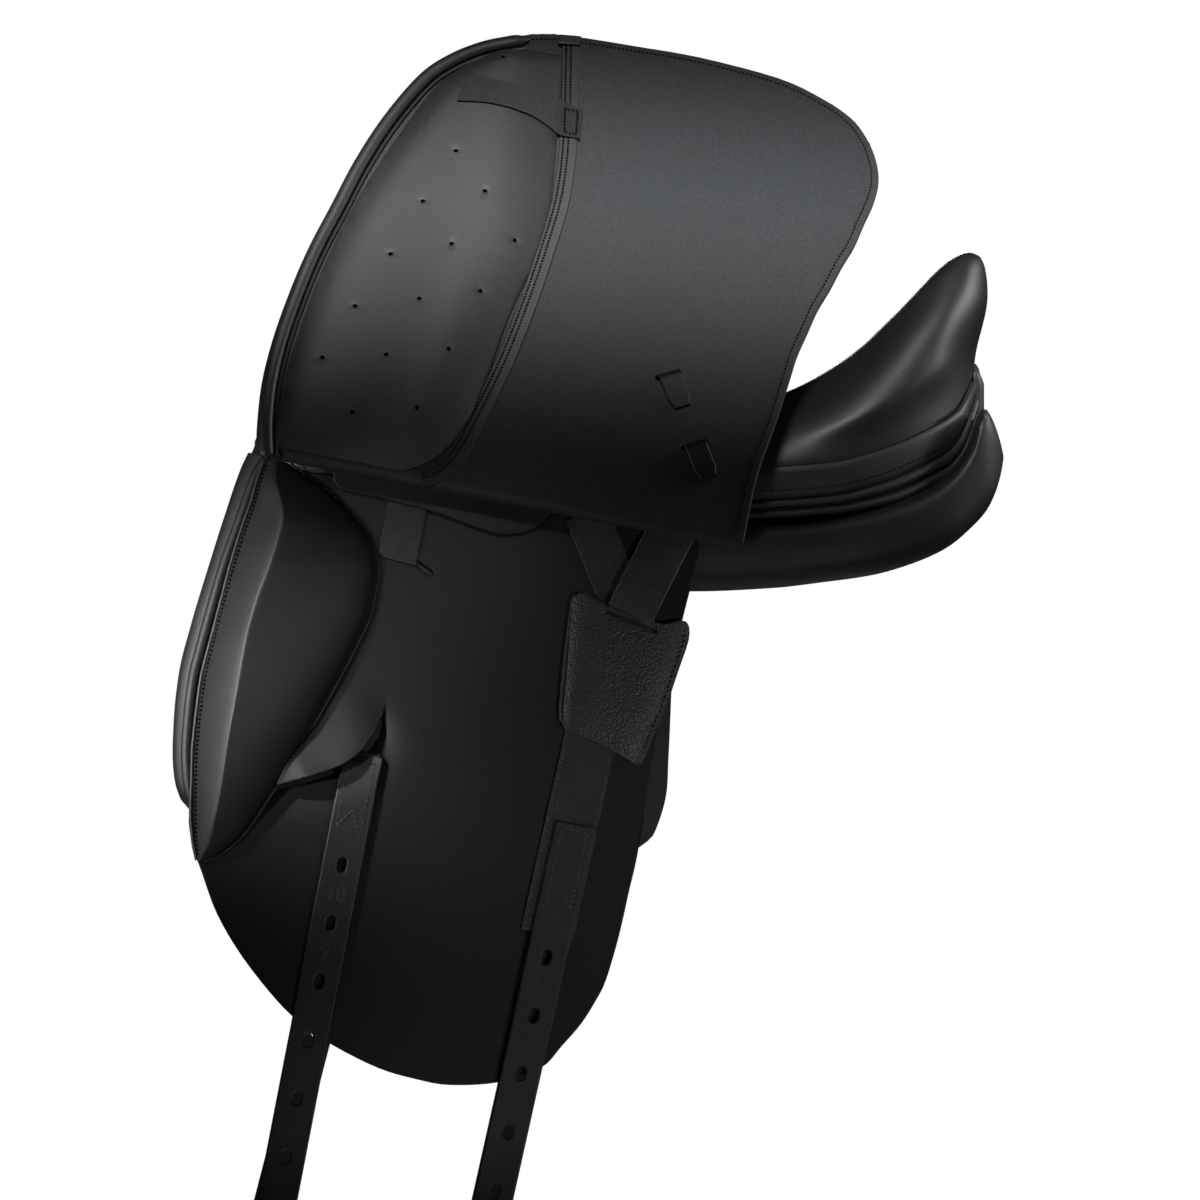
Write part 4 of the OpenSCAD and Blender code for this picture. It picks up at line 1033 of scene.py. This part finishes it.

# Points on a line through the middle of the fold, from just below it to a little above it and leaning out,
# are worked out for each side, but nothing uses them.
BLEND_LEAN = math.radians(12)
BLEND_BELOW = 1.0
BLEND_ABOVE = 16.0
upward = np.array((math.sin(math.radians(FOLD_SLOPE)), 0, math.cos(math.radians(FOLD_SLOPE))))
for label, side in SIDES:
    leather = piece(label + "_flap_leather", (mirrored(flap_local, side), flap_faces), flesh, None,
                    (label + "_flap", label + "_flap_root"), crease=20)
    middle = mirrored(FOLD_START, side)
    ahead = upward * math.cos(BLEND_LEAN) + np.array((0, side, 0)) * math.sin(BLEND_LEAN)
    start = (middle - ahead * BLEND_BELOW) * MM
    end = (middle + ahead * BLEND_ABOVE) * MM
    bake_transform(leather)
    row = stitch_row(mirrored(flap_row, side), flap_turn[:, 1] * (1, side, 1), 2.8, 1.9, 1.3)
    piece(label + "_flap_stitches", row, thread, label + "_flap_body")


# Linings of the outer flaps
# A thin pad of soft leather with air holes, a rolled front edge with a fine welt, a sewn strip over the
# joint of the linings, a woven elastic loop and the ends of the keeper straps.
PAD_FRONT = ((-149, 5), (-151.5, 14), (-153, 49), (-152, 83), (-145, 150), (-130, 220), (-104, 299),
             (-88, 325), (-65, 347), (-50, 352))
PAD_BACK = ((-24, 353), (-20, 345), (-14, 289), (-8, 229), (-9, 190), (-19, 136), (-22, 111), (-26, 71),
            (-29, 51), (-39, 30), (-52, 14), (-66, 5))
PAD_HOLES = ((-60, 334), (-77, 250), (-91, 206), (-52, 221), (-104, 161), (-66, 175), (-26, 189), (-119, 117),
             (-79, 129), (-41, 144), (-132, 74), (-92, 83), (-53, 95), (-105, 37), (-65, 47))
HOLE_RADIUS = 1.5
HOLE_SIDES = 8
HOLE_SHADE_RADIUS = 3.2
PAD_LEATHER = 1.6
PAD_BASE = 2.35
PAD_SWELL = 4.4
PAD_BACK_SWELL = 8.0
PAD_LOW = 5.0
PAD_HIGH = 353.0
pad_outline = np.concatenate((curve(PAD_FRONT, 5), curve(PAD_BACK, 5)))
hole_turn = np.linspace(0, 2 * math.pi, HOLE_SIDES, endpoint=False)
circle = np.stack((np.cos(hole_turn), np.sin(hole_turn)), 1)
pad_holes = [circle * HOLE_RADIUS + hole for hole in PAD_HOLES]


def far_from(points, line):
    """Distance of each point from a line of points."""
    a = line[:-1][None]
    b = line[1:][None]
    gap = points[:, None] - a
    along = np.clip(np.sum(gap * (b - a), 2) / np.maximum(np.sum((b - a) ** 2, 2), 1e-9), 0, 1)
    return np.linalg.norm(gap - (b - a) * along[..., None], axis=2).min(1)


def pillow(points):
    """Swell of the pad: steep along its front and bottom, gentle towards the seam strip."""
    front = np.clip(far_from(points, curve(PAD_FRONT, 5)) / 16, 0, 1)
    back = np.clip(far_from(points, curve(PAD_BACK, 5)) / 48, 0, 1)
    ends = np.clip(np.minimum((points[:, 1] - PAD_LOW) / 28, (PAD_HIGH - points[:, 1]) / 9), 0, 1)
    full = PAD_SWELL + PAD_BACK_SWELL * ease(-135, -50, points[:, 0])
    return full * np.sin(front * math.pi / 2) * (2 * back - back ** 2) * np.sin(ends * math.pi / 2)


def on_flap(points, side):
    """Points along the fold, out of the underside and away from the fold, on the lifted flap."""
    points = np.asarray(points, float)
    return mirrored(flap_plane(points[..., 0], points[..., 2], points[..., 1]), side)


pad_points, pad_faces = cut_leather([pad_outline] + pad_holes, PAD_LEATHER, 0.35,
                                    (np.arange(-146, -8, 7), np.arange(14, 352, 9)))
pad_local = raised(pad_points, PAD_BASE + pillow(pad_points[:, :2]))
# Black discs under the air holes, painted shade in their depths.
hole_shade_spots = []
for hole in PAD_HOLES:
    disc = circle * HOLE_SHADE_RADIUS + hole
    hole_shade_spots.append(points_at(disc[:, 0], PAD_BASE - 0.1 + pillow(np.array([hole], float)), disc[:, 1]))

# Black discs behind the air holes: painted shade that takes all light inside them.
hole_shade = surface("painted_hole_shade", "#020202", 0.95, "Noise", 0.5, 0.1, specular=0.05)

# Soft lining hide, dyed through and lightly glazed: an even fine grain.
lining = surface("glazed_lining_leather", "#1f2224", 0.52, "Noise", 0.9, 0.12,
                 (2.0, ("#1a1c1e", "#25282a"), (0.47, 0.6)), specular=0.45, grain={"Detail": 4.0})

EDGE_ROLL = ((-152, -6), (-155, 6), (-158, 20), (-161.5, 49), (-161.5, 83), (-158.5, 119), (-153.5, 156),
             (-145.5, 194), (-137.5, 232), (-126, 271), (-109.5, 310), (-93.5, 331), (-75.5, 346),
             (-60, 354.5), (-46, 361))
EDGE_ROLL_RADIUS = 4.6
EDGE_ROLL_OUT = 5.0
roll_line = curve(EDGE_ROLL, 6)
roll_share = np.linspace(0, 1, len(roll_line))
roll_ends = np.minimum(roll_share * 30 + 0.3, (1 - roll_share) * 18 + 0.25)
roll_wide = EDGE_ROLL_RADIUS * np.minimum(1, roll_ends)
edge_roll = points_at(roll_line[:, 0], EDGE_ROLL_OUT, roll_line[:, 1])
welt_line = (roll_line + right_of(roll_line) * 6.4)[2:-2]
fine_welt = points_at(welt_line[:, 0], 3.6, welt_line[:, 1])

STRIP_LEFT = ((-56, 7), (-51, 10), (-43.5, 18), (-37.5, 32), (-31.5, 56), (-26, 80), (-20.5, 108),
              (-15, 147), (-10.5, 192), (-8, 236), (-12, 287), (-23, 362))
STRIP_WIDE = 12.0
STRIP_LEATHER = 2.0
STRIP_FACE = PAD_BASE + STRIP_LEATHER
strip_line = curve(STRIP_LEFT, 6)
strip_right = strip_line + right_of(strip_line) * STRIP_WIDE
strip_outline = np.concatenate((strip_line, strip_right[::-1]))
strip_points, strip_faces = cut_leather([strip_outline], STRIP_LEATHER, 0.6, ((), np.arange(12, 362, 12)))
strip_local = raised(strip_points, PAD_BASE)
strip_rows = [strip_line + (strip_right - strip_line) * share for share in (0.22, 0.5)]
TAB = ((-26, 361), (-26.5, 369), (-11.5, 371), (-11, 363))
tab_points, tab_faces = cut_leather([TAB], 2.4, 0.8)
tab_local = raised(tab_points, STRIP_FACE)

# Woven elastic: fine ribs along its width over rubber threads.
elastic = surface("ribbed_woven_elastic", "#1c1e20", 0.7, "Wave", 6.0, 0.35,
                  (3, ("#17191a", "#25282a"), (0.65, 0.8)), specular=0.35,
                  grain={"bands_direction": "X", "Distortion": 0.6})
ELASTIC = ((-80.5, 313.6), (-84, 290.4), (-66, 292), (-48.5, 292), (-32.6, 291), (-20, 287.5), (-10.8, 283.2),
           (2, 282.9), (0, 308), (-15, 312.8), (-48.6, 312))
elastic_bends = (np.arange(-82, 2, 4), np.arange(286, 313, 6))
elastic_points, elastic_faces = cut_leather([ELASTIC], 1.7, 0.4, elastic_bends)
elastic_lift = np.where(elastic_points[:, 0] < -15, pillow(elastic_points[:, :2]), 0)
elastic_base = np.maximum(STRIP_FACE, PAD_BASE + PAD_LEATHER + elastic_lift) + 0.15
elastic_local = raised(elastic_points, elastic_base)
elastic_rows = [np.array(row, float) for row in (
    ((-82.5, 313), (-87, 292)), ((-85, 312), (-89, 294)),
    ((-9, 286), (-1, 285.5), (-3, 305), (-12, 306), (-9, 286)))]
lining_rows = [points_at(row[:, 0], STRIP_FACE, row[:, 1]) for row in strip_rows]
lining_rows += [points_at(row[:, 0], 6.4, row[:, 1]) for row in elastic_rows]

KEEPER_WIDE = 14.5
KEEPER_THICK = 2.0
KEEPER_END = ((0, 1), (1.5, 1.2), (3.4, 0.2), (4.4, -2.5), (4.0, -8), (3.6, -16), (3.5, -25))
KEEPER_LOOP = ((-0.01, 0), (0, 2.6), (0.1, 4.4), (0.5, 6), (0.9, 4.4), (1, 2.6), (1.01, 0))
keeper_end = curve(KEEPER_END, 5)
keeper_across = np.array((math.cos(KEEPER_TURN), 0, math.sin(KEEPER_TURN)))
keeper_along = np.array((-math.sin(KEEPER_TURN), 0, math.cos(KEEPER_TURN)))
keeper_spots = [np.array((u, 0, v)) for u, v in KEEPERS]
keeper_rings = []
for spot in keeper_spots:
    path = spot + np.array((0, 1, 0)) * keeper_end[:, :1] + keeper_along * keeper_end[:, 1:]
    rings = ribbon(path, KEEPER_WIDE, KEEPER_THICK, keeper_across)
    off = (rings - path[:, None]) @ keeper_across
    taper = 0.3 * ease(-18, -25, keeper_end[:, 1])
    keeper_rings.append(rings - off[..., None] * keeper_across * taper[:, None, None])
start, end = keeper_spots
loop = curve([start + (end - start) * share - (0, depth, 0) for share, depth in KEEPER_LOOP], 6)
keeper_rings.append(ribbon(loop, KEEPER_WIDE, KEEPER_THICK, keeper_across))
for label, side in SIDES:
    body = label + "_flap_body"
    pad = piece(label + "_pad_leather", (on_flap(pad_local, side), pad_faces), lining, body,
                (label + "_flap_pad",), crease=30)
    discs = [(on_flap(spot, side), [tuple(range(HOLE_SIDES))]) for spot in hole_shade_spots]
    piece(label + "_pad_hole_shade", join(discs), hole_shade, body)
    rolls = [loft(on_flap(tube(edge_roll, roll_wide, 0.78 * roll_wide), side)),
             loft(on_flap(tube(fine_welt, 1.3, 1.3, 8), side))]
    piece(label + "_edge_roll", join(rolls), calf, body, (label + "_flap_roll",))
    strips = [(on_flap(strip_local, side), strip_faces), (on_flap(tab_local, side), tab_faces)]
    piece(label + "_strip_leather", join(strips), lining, body, (label + "_seam_strip",),
          crease=20)
    out = flap_turn[:, 1] * (1, side, 1)
    rows = [stitch_row(on_flap(row, side), out, 2.4, 1.6, 1.6) for row in lining_rows]
    piece(label + "_lining_stitches", join(rows), thread, body)
    piece(label + "_elastic_loop", (on_flap(elastic_local, side), elastic_faces), elastic, body,
          (label + "_elastic_strap",), crease=20)
    keepers = [loft(on_flap(rings, side)) for rings in keeper_rings]
    piece(label + "_keeper_strap", join(keepers), bridle, body, (label + "_flap_keeper",),
          crease=20)


# Billets
# Long girth straps of the thickest bridle leather, with oval holes 38 mm apart and a number by each hole.
# The front one comes out from under the slit of the sweat flap, and the rear one is sewn to a doubled web.
BILLET_WIDE = 25.5
BILLET_LEATHER = 4.4
HOLE_PITCH = 38.0
HOLE_COUNT = 10
HOLE_SIZE = (5.8, 9.2)
NUMERAL_SIZE = 16.0
NUMERAL_LINE = 0.35
hole_round = [(HOLE_SIZE[0] / 2 * math.cos(a),
               HOLE_SIZE[0] / 2 * math.sin(a) + math.copysign((HOLE_SIZE[1] - HOLE_SIZE[0]) / 2, math.sin(a)))
              for a in (np.arange(16) + 0.5) * math.pi / 8]

# Strap butt, rolled hard: a dull face in small paler and darker patches.
strap = surface("strap_leather", "#17181a", 0.5, "Noise", 1.4, 0.06,
                (5, ("#131416", "#1b1d1f"), (0.45, 0.56)), grain={"Detail": 3.0})


def billet(first, top, cuts):
    """Flat billet with its holes: first is the place of the highest hole, top that of the upper end."""
    half = BILLET_WIDE / 2
    end = first - (HOLE_COUNT - 1) * HOLE_PITCH - 24
    rim = [(half, top - 2), (half - 2, top), (2 - half, top), (-half, top - 2), (-half, end), (-8, end - 9),
           (-3, end - 14), (3, end - 14), (8, end - 9), (half, end)]
    holes = [[(a, b + first - k * HOLE_PITCH) for a, b in hole_round] for k in range(HOLE_COUNT)]
    return cut_leather([rim] + holes, BILLET_LEATHER, 1.2, ((), cuts))


def numerals(first, face):
    """Numbers drawn in a raised line between the holes, as points across, out and up, with their faces."""
    shapes = []
    for k in range(HOLE_COUNT):
        words = bpy.data.curves.new("numeral", "FONT")
        words.body = str(HOLE_COUNT - k)
        words.size = NUMERAL_SIZE
        words.fill_mode = "NONE"
        words.bevel_depth = NUMERAL_LINE
        words.bevel_resolution = 1
        words.align_x = "CENTER"
        words.align_y = "CENTER"
        holder = bpy.data.objects.new("numeral", words)
        mesh = holder.to_mesh()
        points = np.array([vertex.co[:] for vertex in mesh.vertices])
        height = points[:, 1] + first - (k + 0.5) * HOLE_PITCH
        points = points_at(0.8 * points[:, 0], face + points[:, 2], height)
        shapes.append((points, [tuple(side.vertices) for side in mesh.polygons]))
        holder.to_mesh_clear()
        bpy.data.objects.remove(holder)
        bpy.data.curves.remove(words)
    return join(shapes)


def edge_line(across, out, top, low):
    """Straight row down the strap at a distance out."""
    return points_at(across, out, np.linspace(top, low, 60))


FRONT_PIVOT = (-66, -201)
FRONT_TURN = {"left": 2.2, "right": 6.4}
FRONT_FIRST = -50
FRONT_OUT = 4.7
REAR_PIVOT = (81, -140)
REAR_TURN = 4.2
REAR_FIRST = -151
REAR_OUT = 7.5
REAR_SHIFT = 1.5
LOWER_LINE = ((4.7, 12), (4.9, 0), (5.9, -30), (5.9, -136))
LOWER_FACE = 4.7 + WEB_THICK + 0.1
LOWER_WIDE = 34.0
LOWER_SHIFT = -1.5
FOLD_HALF = 16.8
FOLD_OUT = 7.2
SEAM_HALF = 8.2


def front_place(points, label, side):
    """Points of the front strap on the side, pressed in towards the slit and under the lip."""
    points = turned(points, FRONT_PIVOT, FRONT_TURN[label])
    gap = from_slit(points[:, 0], points[:, 2])[1]
    points[:, 1] -= 3 * ease(-26, 0, gap) + 5 * ease(0, 14, gap)
    return on_side(points, side)


def rear_place(points, shift, side):
    """Points of the rear strap on the side, with a shift across the strap."""
    return on_side(turned(points + np.array((shift, 0, 0)), REAR_PIVOT, REAR_TURN), side)


front_face = FRONT_OUT + BILLET_LEATHER
front_points, front_faces = billet(FRONT_FIRST, 25, np.arange(-30, 25, 3))
front_local = raised(front_points, FRONT_OUT)
front_marks, front_mark_faces = numerals(FRONT_FIRST, front_face)
front_rows = [edge_line(across, front_face, 20, -26) for across in (-SEAM_HALF, SEAM_HALF)]
front_rows += [np.array(((-SEAM_HALF, front_face, -26), (0, front_face, -14), (SEAM_HALF, front_face, -32)))]
rear_face = REAR_OUT + BILLET_LEATHER
rear_points, rear_faces = billet(REAR_FIRST, -63, ())
rear_local = raised(rear_points, REAR_OUT)
rear_marks, rear_mark_faces = numerals(REAR_FIRST, rear_face)
rear_rows = [edge_line(across, rear_face, -68, -118) for across in (-SEAM_HALF, SEAM_HALF)]
rear_rows += [np.array(((-SEAM_HALF, rear_face, -118), (0, rear_face, -104), (SEAM_HALF, rear_face, -118))),
              np.array(((-SEAM_HALF, rear_face, -67.5), (SEAM_HALF, rear_face, -67.5)))]
web_rings = ribbon(hang(LOWER_LINE, 8), LOWER_WIDE, WEB_THICK)
web_rows = [edge_line(across, LOWER_FACE, -14, -134) for across in (-15, 15)]
fold_lines = [np.array(((-FOLD_HALF, FOLD_OUT, at), (FOLD_HALF, FOLD_OUT, at - 1.5))) for at in (-56, -60.5)]
fold_rings = [ribbon(line, 3.0, 1.6, (0, 0, 1)) for line in fold_lines]
for label, side in SIDES:
    out = side_facing((0, 1, 0), side)
    legible = (-side, 1, 1)
    front = label + "_front_strap"
    rear = label + "_rear_strap"
    piece(label + "_front_billet_leather", (front_place(front_local, label, side), front_faces), strap, front,
          (label + "_front_billet",), crease=20)
    # The numbers take the grey thread colour, a painted highlight along their stamped edges.
    marks = front_place(front_marks * legible, label, side)
    piece(label + "_front_billet_numbers", (marks, front_mark_faces), grey_thread_and_painted_highlight, front)
    rows = [stitch_row(front_place(row, label, side), out, 3.4, 2.2, 1.2) for row in front_rows]
    piece(label + "_front_billet_stitches", join(rows), grey_thread_and_painted_highlight, front)
    piece(label + "_lower_web_strap", loft(rear_place(web_rings, LOWER_SHIFT, side)), webbing, rear,
          (label + "_lower_web",), crease=25)
    folds = [loft(rear_place(rings, LOWER_SHIFT, side)) for rings in fold_rings]
    piece(label + "_lower_web_fold", join(folds), webbing, rear, crease=25)
    piece(label + "_rear_billet_leather", (rear_place(rear_local, REAR_SHIFT, side), rear_faces), strap, rear,
          (label + "_rear_billet",), crease=20)
    # The numbers take the grey thread colour, a painted highlight along their stamped edges.
    marks = rear_place(rear_marks * legible, REAR_SHIFT, side)
    piece(label + "_rear_billet_numbers", (marks, rear_mark_faces), grey_thread_and_painted_highlight, rear)
    rows = [rear_place(row, REAR_SHIFT, side) for row in rear_rows]
    rows += [rear_place(row, LOWER_SHIFT, side) for row in web_rows]
    piece(label + "_rear_strap_stitches", join([stitch_row(row, out, 3.4, 2.2, 1.2) for row in rows]),
          grey_thread_and_painted_highlight, rear)
